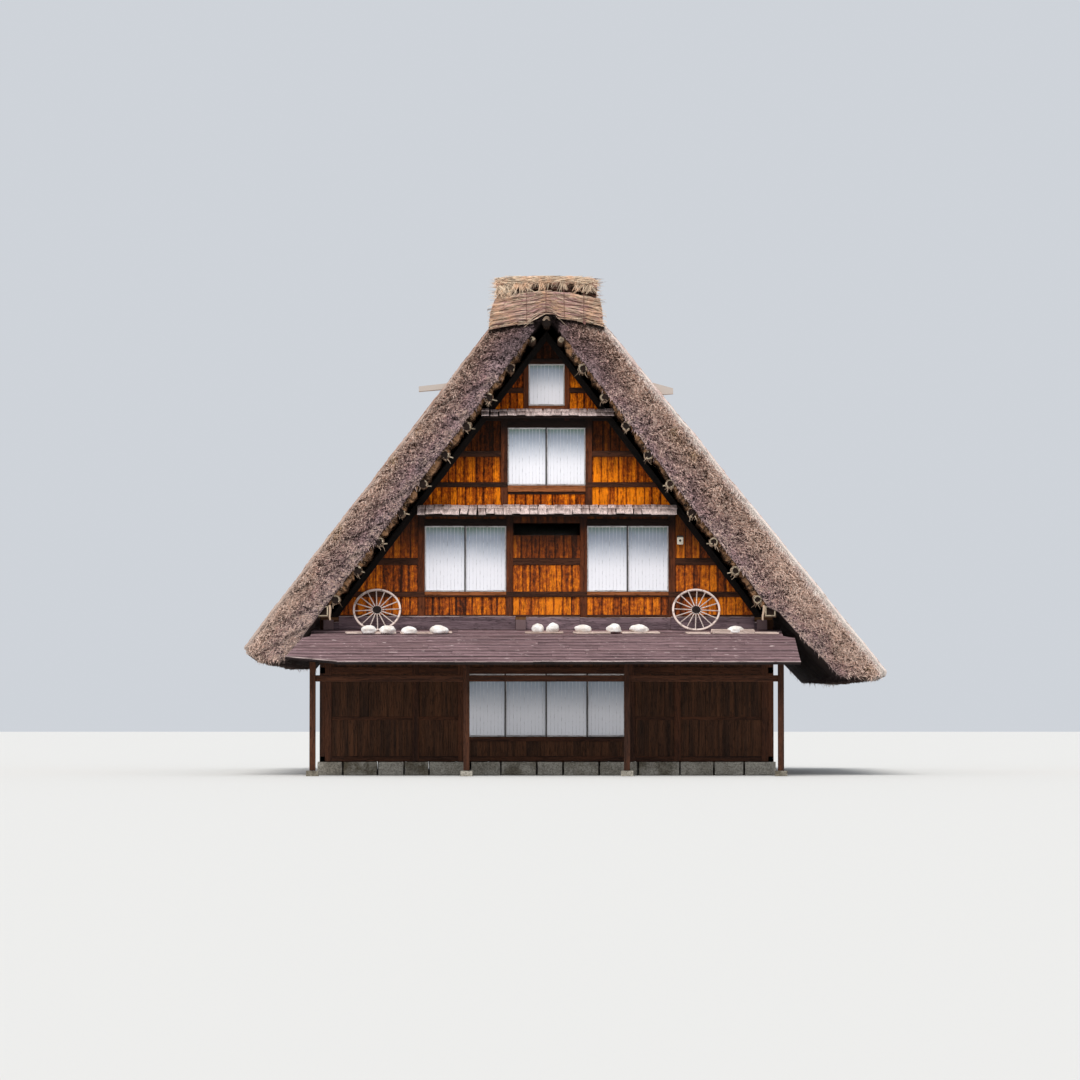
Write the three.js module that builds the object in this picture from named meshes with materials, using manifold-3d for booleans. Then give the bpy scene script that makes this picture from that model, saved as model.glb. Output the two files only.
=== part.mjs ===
// A three-storey thatched farmhouse with a steep open-gabled roof, at full size.
// Millimetres, +Z up, ground at z = 0. The front gable faces -Y and its right-hand side is +X.
// Heights are above the ground. Widths are measured from the ridge line, which stands a little to the
// left of the middle of the plan, because the right-hand slope of the roof reaches further out.

import * as THREE from "three";
import { mergeVertices } from "three/addons/utils/BufferGeometryUtils.js";
import Module from "manifold-3d";

const wasm = await Module();
wasm.setup();

// Clearance left between neighbouring pieces
const GAP = 0.3;

// Plan
const HALF_LENGTH = 6370; // ridge direction, to the outer face of each gable wall
const WALL_OUT = 5040; // ridge line to the outer face of a side wall
const WALL_THICK = 120;
const BOARD_INSET = 30; // boards lie this far behind the faces of the posts
const BOARD_THICK = 60;
const VERGE = 900; // roof overhang past each gable wall
const LEFT_REACH = 6675; // ridge line to the left eave
const RIGHT_REACH = 7505; // ridge line to the right eave
const RIDGE_X = (LEFT_REACH - RIGHT_REACH) / 2;

// Levels
const FOOTING_TOP = 300;
const GROUND_FLOOR_TOP = 420;
const WALL_TOP = 3195;
const DECK_UNDER = 3445;
const DECK_TOP = 3505;
const MIDDLE_DECK = { under: 5790, top: 5940 };
const UPPER_DECK = { under: 7880, top: 8030 };

// Roof slope, as layers measured square to it, from the line of purlin centres
const PITCH = THREE.MathUtils.degToRad(53);
const RISE = Math.tan(PITCH);
const upright = (depth) => depth / Math.cos(PITCH);
const POLE_TOP = 10038; // height where the two lines of purlin centres would meet
const POLE_R = 85;
const RIDGE_POLE_R = 90;
const POLE_BITE = 10; // depth of the seat cut for a purlin in a rafter
const RAFTER_DEPTH = 250;
const RAFTER_WIDTH = 200;
const RAFTER_TOP = POLE_TOP - upright(POLE_R - POLE_BITE);
const RAFTER_UNDER = RAFTER_TOP - upright(RAFTER_DEPTH);
const GABLE_TOP = POLE_TOP - upright(POLE_R + GAP); // gable walls reach up to the purlins
const BARGE_DEPTH = 140; // sloping frame member along each gable edge
const THATCH_UNDER = POLE_TOP + upright(POLE_R + GAP);
const run = (lineTop, z) => (lineTop - z) / RISE; // ridge line to a slope line, at height z

// Purlins
const PURLIN_COUNT = 10;
const PURLIN_FIRST_Z = 9615;
const PURLIN_STEP_Z = 638;
const PURLIN_END = HALF_LENGTH + VERGE - 30;

// Gable windows and frames: half widths or centres from the ridge line
const SCREEN_THICK = 30;
const LOWER_WINDOW = { centre: 1805, half: 905, low: 4075, high: 5540 };
const MIDDLE_WINDOW = { half: 865, low: 6440, high: 7730 };
const TOP_WINDOW = { half: 400, low: 8220, high: 9150 };
const VENT = { half: 735, low: 5330, high: 5600 };
const POST = 150;
const TOP_POST = 110;

// Level members that cross the gable wall, as [low, high], and the other edges of window heads and sills
const GABLE_RAILS = [
  [DECK_TOP + GAP, 3560], // on the lowest attic floor
  [3955, LOWER_WINDOW.low], // under the lower windows
  [4667, 4822], // across the lower storey
  [MIDDLE_DECK.under, 6000], // at the middle attic floor
  [6400, 6510], // low in the middle storey
  [7080, 7210], // across the middle storey
  [UPPER_DECK.under, 8070], // at the upper attic floor
  [8500, 8620], // across the top storey
  [TOP_WINDOW.high, 9270], // over the top window
];
const LOWER_HEADER = 5690;
const MIDDLE_SILL = 6300;
const TOP_SILL = 8130;
const TOP_HEADER = 9270;

// Ground storey windows
const GROUND_WINDOW = { half: 1820, low: 850, high: 2250 };

// Entrance, in the right-hand side wall
const DOOR = { near: -2910, far: -1090, high: 2250, leafThick: 35, lap: 40 };

// Lean-to roofs over both gable ends, as distances out from the wall face
const LEAN = { breakOut: 1400, eaveOut: 2550, wallZ: 3265, breakZ: 3025, step: 30, eaveZ: 2500, thick: 70 };
const SKIRT = { thick: 30, high: 3530, half: 4800 };
const LEAN_UNDER_VERGE = 980;
const LEAN_HALF = 5200;
const LEAN_POST = { out: 1820, size: 130, centres: [-5105, -1750, 1750, 5105], pad: 300, padHigh: 120 };
const LEAN_BEAM = { half: 5320, high: 160 };
const LEAN_RAIL = { low: 2060, high: 2200, thick: 50 };

// Beams that run the length of the house and show at the gables
const BEAM = { size: 220, out: 200, centres: [-4840, -570, 4780] };
const CROSS_BEAM = 200;
const EAVE_BEAM = 225;

// Ridge cap
const CAP_OVERHANG = 100;
// The courses lie on a core that starts and ends part of the way into the first course and the mat
const CAP = { courses: 4, groove: 50, matOverhang: 35, coreFoot: 0.1, coreHead: 1.12, matLip: 10 };

// Finishes
const finish = (color, roughness = 0.9, metalness = 0) =>
  new THREE.MeshStandardMaterial({ color, roughness, metalness });
const STONE = finish(0xb9b2a6);
const PALE_STONE = finish(0xd8d2c8);
const OLD_WOOD = finish(0x4a2f20);
const BOARD_WOOD = finish(0x9a5222);
const FLOOR_WOOD = finish(0x6e4a30);
const PALE_WOOD = finish(0xb59a80);
const SHAKE = finish(0xa08d84);
const SHEET_METAL = finish(0x6b5557, 0.55, 0.4);
const SCREEN = finish(0xeceef0, 0.6);
const THATCH = finish(0x83705f);
const STRAW = finish(0xb09270);
const LAMP_WHITE = finish(0xe0dccf, 0.5);

// Geometry as a solid for cutting and joining, with only its positions kept
function solid(geometry) {
  const bare = geometry.index ? geometry.toNonIndexed() : geometry.clone();
  bare.deleteAttribute("normal");
  bare.deleteAttribute("uv");
  const merged = mergeVertices(bare, 1e-3);
  return new wasm.Manifold(
    new wasm.Mesh({
      numProp: 3,
      vertProperties: merged.attributes.position.array,
      triVerts: new Uint32Array(merged.index.array),
    }),
  );
}

// A solid as drawable geometry
function drawable(shape) {
  const mesh = shape.getMesh();
  const geometry = new THREE.BufferGeometry();
  geometry.setAttribute("position", new THREE.BufferAttribute(mesh.vertProperties, 3));
  geometry.setIndex(new THREE.BufferAttribute(mesh.triVerts, 1));
  geometry.computeVertexNormals();
  return geometry;
}

const join = (shapes) => shapes.reduce((whole, shape) => whole.add(shape));

function box(x0, x1, y0, y1, z0, z1) {
  const geometry = new THREE.BoxGeometry(x1 - x0, y1 - y0, z1 - z0);
  geometry.translate((x0 + x1) / 2, (y0 + y1) / 2, (z0 + z1) / 2);
  return solid(geometry);
}

const outline = (points) => new THREE.Shape(points.map(([u, v]) => new THREE.Vector2(u, v)));

// An outline in (x, z), carried along y
function alongY(points, y0, y1) {
  const geometry = new THREE.ExtrudeGeometry(outline(points), { depth: y1 - y0, bevelEnabled: false });
  geometry.rotateX(Math.PI / 2);
  geometry.translate(0, y1, 0);
  return solid(geometry);
}

// An outline in (y, z), carried along x
function alongX(points, x0, x1) {
  const geometry = new THREE.ExtrudeGeometry(outline(points), { depth: x1 - x0, bevelEnabled: false });
  const turn = new THREE.Matrix4().makeBasis(
    new THREE.Vector3(0, 1, 0),
    new THREE.Vector3(0, 0, 1),
    new THREE.Vector3(1, 0, 0),
  );
  geometry.applyMatrix4(turn);
  geometry.translate(x0, 0, 0);
  return solid(geometry);
}

// An outline in (x, y), carried up z
function alongZ(points, z0, z1) {
  const geometry = new THREE.ExtrudeGeometry(outline(points), { depth: z1 - z0, bevelEnabled: false });
  geometry.translate(0, 0, z0);
  return solid(geometry);
}

// Points given from the ridge line, turned to the left (-1) or right (+1) side
const onSide = (side, points) => points.map(([x, z]) => [side * x, z]);

// A front piece, or its copy turned to the back gable by half a turn of its y values
const facing = (shape, front) => (front ? shape : shape.mirror([0, 1, 0]));

const house = new THREE.Group();
house.position.x = RIDGE_X;

function place(name, shape, material) {
  const mesh = new THREE.Mesh(drawable(shape), material);
  mesh.name = name;
  house.add(mesh);
}

// Stone footing: a ring under the ground walls with an inner ledge for the floor
function stoneFooting() {
  const proud = 60;
  const ledge = 300;
  const outer = box(-WALL_OUT - proud, WALL_OUT + proud, -HALF_LENGTH - proud, HALF_LENGTH + proud, 0, FOOTING_TOP);
  const inX = WALL_OUT - ledge;
  const inY = HALF_LENGTH - ledge;
  return outer.subtract(box(-inX, inX, -inY, inY, -1, FOOTING_TOP + 1));
}

function groundFloor() {
  const inX = WALL_OUT - WALL_THICK - GAP;
  const inY = HALF_LENGTH - WALL_THICK - GAP;
  return box(-inX, inX, -inY, inY, FOOTING_TOP + GAP, GROUND_FLOOR_TOP);
}

// Timber wall in (u, z): recessed boards, with posts and rails at full thickness, cut to an outline
// and pierced by holes. It is built along x with its outer face at y = 0 and its inner face at +y.
function timberWall(shapePoints, posts, rails, holes, slopes = []) {
  const boards = alongY(shapePoints, BOARD_INSET, BOARD_INSET + BOARD_THICK);
  const frame = alongY(shapePoints, 0, WALL_THICK);
  const members = [...posts, ...rails].map(([u0, u1, z0, z1]) => box(u0, u1, 0, WALL_THICK, z0, z1));
  const wall = boards.add(join([...members, ...slopes]).intersect(frame));
  const cuts = holes.map(([u0, u1, z0, z1]) => box(u0, u1, -10, WALL_THICK + 10, z0, z1));
  return cuts.reduce((left, cut) => left.subtract(cut), wall);
}

// Sliding screens that fill a hole, in two tracks, each lapping the next
function screens(u0, u1, z0, z1, count) {
  const lap = 20;
  const track = 35;
  const width = (u1 - u0 - 2 * GAP) / count;
  const panels = [];
  for (let i = 0; i < count; i += 1) {
    const start = u0 + GAP + i * width - (i > 0 ? lap : 0);
    const end = u0 + GAP + (i + 1) * width + (i < count - 1 ? lap : 0);
    const y = track + (i % 2) * SCREEN_THICK;
    panels.push(box(start, end, y, y + SCREEN_THICK, z0 + GAP, z1 - GAP));
  }
  return join(panels);
}

// Gable wall above the eaves, framed storey by storey
function gableWall() {
  const low = DECK_TOP + GAP;
  const foot = Math.min(WALL_OUT - EAVE_BEAM - GAP, run(GABLE_TOP, low + 1));
  const shoulder = GABLE_TOP - foot * RISE;
  const triangle = [[-foot, low], [foot, low], [foot, shoulder], [0, GABLE_TOP], [-foot, shoulder]];
  const barge = upright(BARGE_DEPTH);
  const bargeSide = [[0, GABLE_TOP], [0, GABLE_TOP - barge], [foot, shoulder - barge], [foot, shoulder]];
  const slopes = [-1, 1].map((side) => alongY(onSide(side, bargeSide), 0, WALL_THICK));
  const post = (centre, z0, z1, width = POST) => [centre - width / 2, centre + width / 2, z0, z1];
  const lowerPost = LOWER_WINDOW.centre + LOWER_WINDOW.half + POST / 2;
  const innerPost = LOWER_WINDOW.centre - LOWER_WINDOW.half - POST / 2;
  const middlePost = MIDDLE_WINDOW.half + POST / 2;
  const topPost = TOP_WINDOW.half + TOP_POST / 2;
  const posts = [
    ...[-lowerPost, -innerPost, innerPost, lowerPost].map((x) => post(x, low, MIDDLE_DECK.top)),
    ...[-middlePost, middlePost].map((x) => post(x, MIDDLE_DECK.under, UPPER_DECK.top)),
    ...[-topPost, topPost].map((x) => post(x, UPPER_DECK.under, TOP_HEADER, TOP_POST)),
  ];
  const windows = [-1, 1].map((side) => [
    side * LOWER_WINDOW.centre - LOWER_WINDOW.half,
    side * LOWER_WINDOW.centre + LOWER_WINDOW.half,
  ]);
  const rails = [
    ...GABLE_RAILS.map(([z0, z1]) => [-foot, foot, z0, z1]),
    ...windows.map(([u0, u1]) => [u0, u1, LOWER_WINDOW.high, LOWER_HEADER]),
    [-MIDDLE_WINDOW.half, MIDDLE_WINDOW.half, MIDDLE_SILL, MIDDLE_WINDOW.low],
    [-MIDDLE_WINDOW.half, MIDDLE_WINDOW.half, MIDDLE_WINDOW.high, UPPER_DECK.under],
    [-TOP_WINDOW.half, TOP_WINDOW.half, TOP_SILL, TOP_WINDOW.low],
  ];
  const holes = [
    ...windows.map(([u0, u1]) => [u0, u1, LOWER_WINDOW.low, LOWER_WINDOW.high]),
    [-MIDDLE_WINDOW.half, MIDDLE_WINDOW.half, MIDDLE_WINDOW.low, MIDDLE_WINDOW.high],
    [-TOP_WINDOW.half, TOP_WINDOW.half, TOP_WINDOW.low, TOP_WINDOW.high],
    [-VENT.half, VENT.half, VENT.low, VENT.high],
  ];
  return timberWall(triangle, posts, rails, holes, slopes).translate([0, -HALF_LENGTH, 0]);
}

// Ground storey wall of a given half length, with posts at even bays and an optional window band
function groundWall(u0, u1, window) {
  const low = FOOTING_TOP + GAP;
  const panel = [[u0, low], [u1, low], [u1, WALL_TOP], [u0, WALL_TOP]];
  const bays = Math.max(1, Math.round((u1 - u0) / 1820));
  const posts = [];
  for (let i = 0; i <= bays; i += 1) {
    const centre = u0 + POST / 2 + ((u1 - u0 - POST) * i) / bays;
    posts.push([centre - POST / 2, centre + POST / 2, low, WALL_TOP]);
  }
  const rails = [
    [u0, u1, low, low + 120],
    [u0, u1, GROUND_WINDOW.high, GROUND_WINDOW.high + 150],
    [u0, u1, WALL_TOP - 120, WALL_TOP],
  ];
  if (!window) return timberWall(panel, posts, rails, []);
  const [w0, w1] = window;
  const sides = [
    [w0 - POST, w0, low, WALL_TOP],
    [w1, w1 + POST, low, WALL_TOP],
  ];
  rails.push([w0, w1, GROUND_WINDOW.low - 100, GROUND_WINDOW.low]);
  return timberWall(panel, [...posts, ...sides], rails, [[w0, w1, GROUND_WINDOW.low, GROUND_WINDOW.high]]);
}

const groundScreens = (centre) =>
  screens(centre - GROUND_WINDOW.half, centre + GROUND_WINDOW.half, GROUND_WINDOW.low, GROUND_WINDOW.high, 4);

// A wall built along x, stood against a side wall line: side -1 faces -X, side +1 faces +X
function onSideWall(shape, side) {
  return shape.rotate([0, 0, side * 90]).translate([side * WALL_OUT, 0, 0]);
}

// Entrance: two sliding leaves pushed together over the far half of the doorway
function entranceDoors() {
  const leaf = (DOOR.far - DOOR.near) / 2 + DOOR.lap;
  const first = box(DOOR.far - GAP - leaf, DOOR.far - GAP, 30, 30 + DOOR.leafThick, FOOTING_TOP + GAP, DOOR.high - GAP);
  return first.add(first.translate([-DOOR.lap, DOOR.leafThick, 0]));
}

// Lowest attic floor boards, which lie across the whole plan and end just inside the thatch
function lowerAtticFloor() {
  const edge = run(THATCH_UNDER, DECK_TOP) - 10;
  return box(-edge, edge, -HALF_LENGTH, HALF_LENGTH, DECK_UNDER, DECK_TOP);
}

// Beams under the lowest attic floor: a ring on the walls, cross beams, and long beams whose ends show
function atticBeams() {
  const low = WALL_TOP + GAP;
  const top = DECK_UNDER - GAP;
  const beam = (x0, x1, y0, y1) => box(x0, x1, y0, y1, low, top);
  const endCentre = HALF_LENGTH - CROSS_BEAM / 2;
  const across = [-1, -0.5, 0, 0.5, 1].map((place) =>
    beam(-WALL_OUT, WALL_OUT, place * endCentre - CROSS_BEAM / 2, place * endCentre + CROSS_BEAM / 2),
  );
  const sides = [-1, 1].map((side) => {
    const [inner, outer] = [side * (WALL_OUT - EAVE_BEAM), side * WALL_OUT];
    return beam(Math.min(inner, outer), Math.max(inner, outer), -HALF_LENGTH, HALF_LENGTH);
  });
  return join([...across, ...sides, ...longBeams(0)]);
}

function longBeams(grown) {
  const half = BEAM.size / 2 + grown;
  const reach = HALF_LENGTH + BEAM.out;
  const top = DECK_UNDER - GAP;
  return BEAM.centres.map((x) => box(x - half, x + half, -reach, reach, top - BEAM.size - grown, top + grown));
}

// Higher attic floor, fitted between the rafters and the gable walls
function upperAtticFloor({ under, top }) {
  const edge = (z) => run(RAFTER_UNDER - upright(GAP), z);
  const section = [[-edge(under), under], [edge(under), under], [edge(top), top], [-edge(top), top]];
  const half = HALF_LENGTH - WALL_THICK - GAP;
  return alongY(section, -half, half);
}

// Rafters and pole purlins of one slope, pegged together as one frame
function roofFrame(side) {
  const low = DECK_TOP + GAP;
  const section = onSide(side, [
    [run(RAFTER_UNDER, low), low],
    [run(RAFTER_TOP, low), low],
    [GAP / 2, RAFTER_TOP - (RISE * GAP) / 2],
    [GAP / 2, RAFTER_UNDER - (RISE * GAP) / 2],
  ]);
  const endRafter = HALF_LENGTH - WALL_THICK - GAP - RAFTER_WIDTH / 2;
  const rafters = [-1, -0.5, 0, 0.5, 1].map((place) =>
    alongY(section, place * endRafter - RAFTER_WIDTH / 2, place * endRafter + RAFTER_WIDTH / 2).subtract(
      eaveBeam(side, GAP),
    ),
  );
  const poles = [];
  for (let i = 0; i < PURLIN_COUNT; i += 1) {
    const z = PURLIN_FIRST_Z - i * PURLIN_STEP_Z;
    const pole = new THREE.CylinderGeometry(POLE_R, POLE_R, 2 * PURLIN_END, 8);
    pole.translate(side * run(POLE_TOP, z), 0, z);
    poles.push(solid(pole));
  }
  return join([...rafters, ...poles]);
}

// Squared beam outside the rafter feet, which carries the eave and shows at both gables
function eaveBeam(side, grown = 0) {
  const outer = side * WALL_OUT;
  const inner = side * (WALL_OUT - EAVE_BEAM);
  return box(
    Math.min(inner, outer) - grown,
    Math.max(inner, outer) + grown,
    -PURLIN_END - grown,
    PURLIN_END + grown,
    DECK_TOP + GAP - grown,
    DECK_TOP + GAP + EAVE_BEAM + grown,
  );
}

function ridgePole() {
  const pole = new THREE.CylinderGeometry(RIDGE_POLE_R, RIDGE_POLE_R, 2 * PURLIN_END, 12);
  pole.translate(0, 0, RAFTER_TOP + RIDGE_POLE_R + GAP);
  return solid(pole);
}

// Thatch of one slope. Points run from the ridge down the outside, round the eave and back up the underside.
const LEFT_THATCH = [
  [GAP / 2, THATCH_UNDER],
  [1300, 9857],
  [LEFT_REACH, 2833],
  [6600, 2660],
  [6380, 2515],
  [run(THATCH_UNDER, 2515), 2515],
];
const RIGHT_THATCH = [
  [GAP / 2, THATCH_UNDER],
  [1310, 9937],
  [RIGHT_REACH, 2293],
  [7465, 2190],
  [7330, 2130],
  [6445, 2181],
  [5755, 2882],
  [5120, 3600],
  [run(THATCH_UNDER, 3700), 3700],
];

function thatch(side) {
  const end = HALF_LENGTH + VERGE;
  const points = side < 0 ? LEFT_THATCH : RIGHT_THATCH;
  const slope = alongY(onSide(side, points), -end, end).subtract(eaveBeam(side, GAP));
  const [ridge, foot] = [points[1], points[2]];
  const rounded = 160; // the outer edge of each verge is trimmed back by this much
  const tilt = Math.atan2(ridge[1] - foot[1], foot[0] - ridge[0]);
  const edges = [-1, 1].map((way) => {
    const bar = new THREE.BoxGeometry(20000, rounded * Math.SQRT2, rounded * Math.SQRT2);
    bar.rotateX(Math.PI / 4);
    bar.rotateY(side * tilt);
    bar.translate(side * foot[0], way * end, foot[1]);
    return solid(bar);
  });
  return slope.subtract(edges[0]).subtract(edges[1]);
}

// Ridge cap: straw courses in nested arches on the heads of both slopes, under a top mat that overhangs them
function ridgeCap() {
  const end = HALF_LENGTH + VERGE + CAP_OVERHANG;
  const seat = upright(GAP);
  const foot = [
    [-1322, 9829 + seat],
    [-1300, 9857 + seat],
    [0, THATCH_UNDER + seat],
    [1310, 9937 + seat],
    [1332, 9910 + seat],
  ];
  const brow = [
    [-1150, 10560],
    [-1130, 10590],
    [0, 10700],
    [1110, 10580],
    [1130, 10550],
  ];
  // A course line part of the way up from the foot to the brow, lifted a little and drawn in at its ends
  const line = (level, lift = 0, inset = 0) =>
    foot.map(([x, z], i) => {
      const across = x + (brow[i][0] - x) * level;
      return [across - Math.sign(across) * inset, z + (brow[i][1] - z) * level + lift];
    });
  const courses = Array.from({ length: CAP.courses }, (_, k) => {
    const under = line(k / CAP.courses, k === 0 ? 0 : CAP.groove / 2);
    const top = line((k + 1) / CAP.courses, -CAP.groove / 2);
    return alongY([...under, ...top.reverse()], -end + CAP.matOverhang, end - CAP.matOverhang);
  });
  const coreEnd = end - CAP.matOverhang - CAP.groove;
  const coreLines = [...line(CAP.coreFoot, 0, CAP.groove), ...line(CAP.coreHead, 0, CAP.groove).reverse()];
  const core = alongY(coreLines, -coreEnd, coreEnd);
  const mat = [
    ...line(1, CAP.groove, -CAP.matLip),
    [1137, 10975],
    [600, 11022],
    [0, 11034],
    [-600, 11026],
    [-1122, 10985],
  ];
  return join([core, ...courses, alongY(mat, -end, end)]);
}

// Small shake roof over a row of gable windows, on arms with a pole under its edge
function smallRoof({ half, shift, wallZ, eaveZ, out, thick, arms }) {
  const face = -HALF_LENGTH - GAP;
  const sheet = alongX(
    [[face, wallZ], [face - out, eaveZ], [face - out, eaveZ - thick], [face, wallZ - thick]],
    shift - half,
    shift + half,
  );
  const { poleBack, poleHalf, armHalf, tipHigh, rootHigh, bite } = SMALL_ROOF_ARM;
  const reach = out - poleBack;
  const fall = (wallZ - eaveZ) / out;
  const armTop = (d) => wallZ - thick + bite - fall * d;
  const armSide = [
    [face, armTop(0)],
    [face - reach, armTop(reach)],
    [face - reach, armTop(reach) - tipHigh],
    [face, armTop(0) - rootHigh],
  ];
  const carried = arms.map((x) => alongX(armSide, x - armHalf, x + armHalf));
  const poleY = face - reach;
  const poleEnd = half - 40;
  const top = armTop(reach);
  const pole = box(shift - poleEnd, shift + poleEnd, poleY - poleHalf, poleY + poleHalf, top - tipHigh - bite, top);
  return join([sheet, pole, ...carried]);
}

const SMALL_ROOF_ARM = { poleBack: 90, poleHalf: 30, armHalf: 35, tipHigh: 55, rootHigh: 110, bite: 5 };
const LOWER_SMALL_ROOF = { half: 2885, shift: 0, wallZ: 5985, eaveZ: 5795, out: 560, thick: 45, arms: [-2760, -1650, -550, 550, 1650, 2760] };
const UPPER_SMALL_ROOF = { half: 1475, shift: 15, wallZ: 8125, eaveZ: 7990, out: 430, thick: 40, arms: [-940, 940] };

// Lean-to roof with a skirt board up the wall: a low upper part lapping a steeper lower one
function leanToRoof(front) {
  const face = HALF_LENGTH + GAP;
    const profile = [
    [0, SKIRT.high],
    [SKIRT.thick, SKIRT.high],
    [SKIRT.thick, LEAN.wallZ],
    [LEAN.breakOut, LEAN.breakZ],
    [LEAN.breakOut, LEAN.breakZ - LEAN.step],
    [LEAN.eaveOut, LEAN.eaveZ],
    [LEAN.eaveOut, LEAN.eaveZ - LEAN.thick],
    [LEAN.breakOut, LEAN.breakZ - LEAN.step - LEAN.thick],
    [0, LEAN.wallZ - LEAN.thick],
  ].map(([out, z]) => [-face - out, z]);
  const leftCornerCut = front ? 230 : 0;
  const plan = [
    [-LEAN_HALF, -1],
    [-LEAN_HALF, LEAN_UNDER_VERGE],
    [-5370, LEAN.breakOut],
    [-5680, LEAN.eaveOut - leftCornerCut],
    [-4550, LEAN.eaveOut],
    [5500, LEAN.eaveOut],
    [5440, LEAN.breakOut],
    [LEAN_HALF, LEAN_UNDER_VERGE],
    [LEAN_HALF, -1],
  ].map(([x, out]) => [x, -face - out]);
  const sheet = alongX(profile, -6000, 6000).intersect(alongZ(plan, 2000, 4000));
  const ends = [-1, 1].map((side) => {
    const [a, b] = [side * SKIRT.half, side * 6000];
    return box(Math.min(a, b), Math.max(a, b), -face - SKIRT.thick - 1, 0, LEAN.wallZ, 4000);
  });
  const cuts = [...ends, ...longBeams(GAP)];
  return facing(cuts.reduce((left, cut) => left.subtract(cut), sheet), front);
}

// Posts on stone pads, eave beam and rail that carry the lean-to
function leanToFrame(front) {
  const y = -HALF_LENGTH - LEAN_POST.out;
  const half = LEAN_POST.size / 2;
  const padHalf = LEAN_POST.pad / 2;
  const fall = (LEAN.breakZ - LEAN.step - LEAN.eaveZ) / (LEAN.eaveOut - LEAN.breakOut);
  const sheetUnder = LEAN.eaveZ - LEAN.thick + fall * (LEAN.eaveOut - LEAN_POST.out - half);
  const beamTop = sheetUnder - GAP;
  const beamLow = beamTop - LEAN_BEAM.high;
  const seat = 5;
  const members = [box(-LEAN_BEAM.half, LEAN_BEAM.half, y - half, y + half, beamLow, beamTop)];
  for (const x of LEAN_POST.centres) {
    members.push(
      box(x - half, x + half, y - half, y + half, LEAN_POST.padHigh - seat, beamLow + seat),
      box(x - padHalf, x + padHalf, y - padHalf, y + padHalf, 0, LEAN_POST.padHigh),
    );
  }
  const [firstPost] = LEAN_POST.centres;
  const railHalf = LEAN_RAIL.thick / 2;
  members.push(box(firstPost, -firstPost, y - railHalf, y + railHalf, LEAN_RAIL.low, LEAN_RAIL.high));
  return facing(join(members), front);
}

// Short board set into a slope beside the verge: its inner end is cut to the thatch
function slopeLedge(side, { high, low, tip, tipHigh, tipLow, y0, y1 }) {
  const points = side < 0 ? LEFT_THATCH : RIGHT_THATCH;
  const [[x1, z1], [x2, z2]] = [points[1], points[2]];
  const surface = (z) => x1 + ((z1 - z) * (x2 - x1)) / (z1 - z2) + 2 * GAP;
  return alongY(onSide(side, [[surface(high), high], [tip, tipHigh], [tip, tipLow], [surface(low), low]]), y0, y1);
}

// Cart wheel leaning back on the gable boards, with its foot on the lean-to roof
const WHEEL = { radius: 535, rim: 55, thick: 50, hub: 105, hubHalf: 95, spokes: 16, lean: THREE.MathUtils.degToRad(28.7) };

function cartWheel(x) {
  const half = WHEEL.thick / 2;
  const inner = WHEEL.radius - WHEEL.rim;
  const ring = [[inner, -half], [WHEEL.radius, -half], [WHEEL.radius, half], [inner, half], [inner, -half]];
  const rim = solid(new THREE.LatheGeometry(ring.map(([r, h]) => new THREE.Vector2(r, h)), 28));
  const hub = solid(new THREE.CylinderGeometry(WHEEL.hub, WHEEL.hub, 2 * WHEEL.hubHalf, 16));
  const spokes = [];
  for (let i = 0; i < WHEEL.spokes; i += 1) {
    const bar = new THREE.BoxGeometry(inner - WHEEL.hub + 40, 30, 26);
    bar.translate((inner + WHEEL.hub) / 2, 0, 0);
    bar.rotateY(((i + 0.5) * 2 * Math.PI) / WHEEL.spokes);
    spokes.push(solid(bar));
  }
  const [s, c] = [Math.sin(WHEEL.lean), Math.cos(WHEEL.lean)];
  const y = -HALF_LENGTH - GAP - WHEEL.radius * s - half * c;
  const footOut = -HALF_LENGTH - (y - WHEEL.radius * s + half * c);
  const z = leanSurface(footOut) + GAP + WHEEL.radius * c + half * s;
  const lean = THREE.MathUtils.radToDeg(WHEEL.lean);
  return join([rim, hub, ...spokes]).rotate([-lean, 0, 0]).translate([x, y, z]);
}

// Height of the upper part of the lean-to roof, a distance out from the wall face
const LEAN_FALL = (LEAN.wallZ - LEAN.breakZ) / (LEAN.breakOut - SKIRT.thick);
const leanSurface = (out) => LEAN.wallZ - LEAN_FALL * (out - SKIRT.thick - GAP);

// Boards lying end to end on the lean-to roof, held down by stones
const PLANK = { out: 700, width: 170, thick: 28 };

function weightedBoards(planks, stones) {
  const tilt = -THREE.MathUtils.radToDeg(Math.atan(LEAN_FALL));
  const boards = planks.map(([x0, x1, shift, thick = PLANK.thick]) =>
    box(x0, x1, -shift - PLANK.width / 2, -shift + PLANK.width / 2, 0, thick),
  );
  const weights = stones.map(([x, shift, base, long, wide, high, turn]) => {
    const stone = new THREE.SphereGeometry(0.5, 9, 6);
    stone.scale(long, wide, high);
    stone.rotateZ(turn);
    stone.translate(x, -shift, base + high * 0.44);
    return solid(stone);
  });
  const y = -HALF_LENGTH - PLANK.out;
  return join([...boards, ...weights])
    .rotate([-tilt, 0, 0])
    .translate([0, y, leanSurface(PLANK.out) + GAP]);
}

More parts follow.
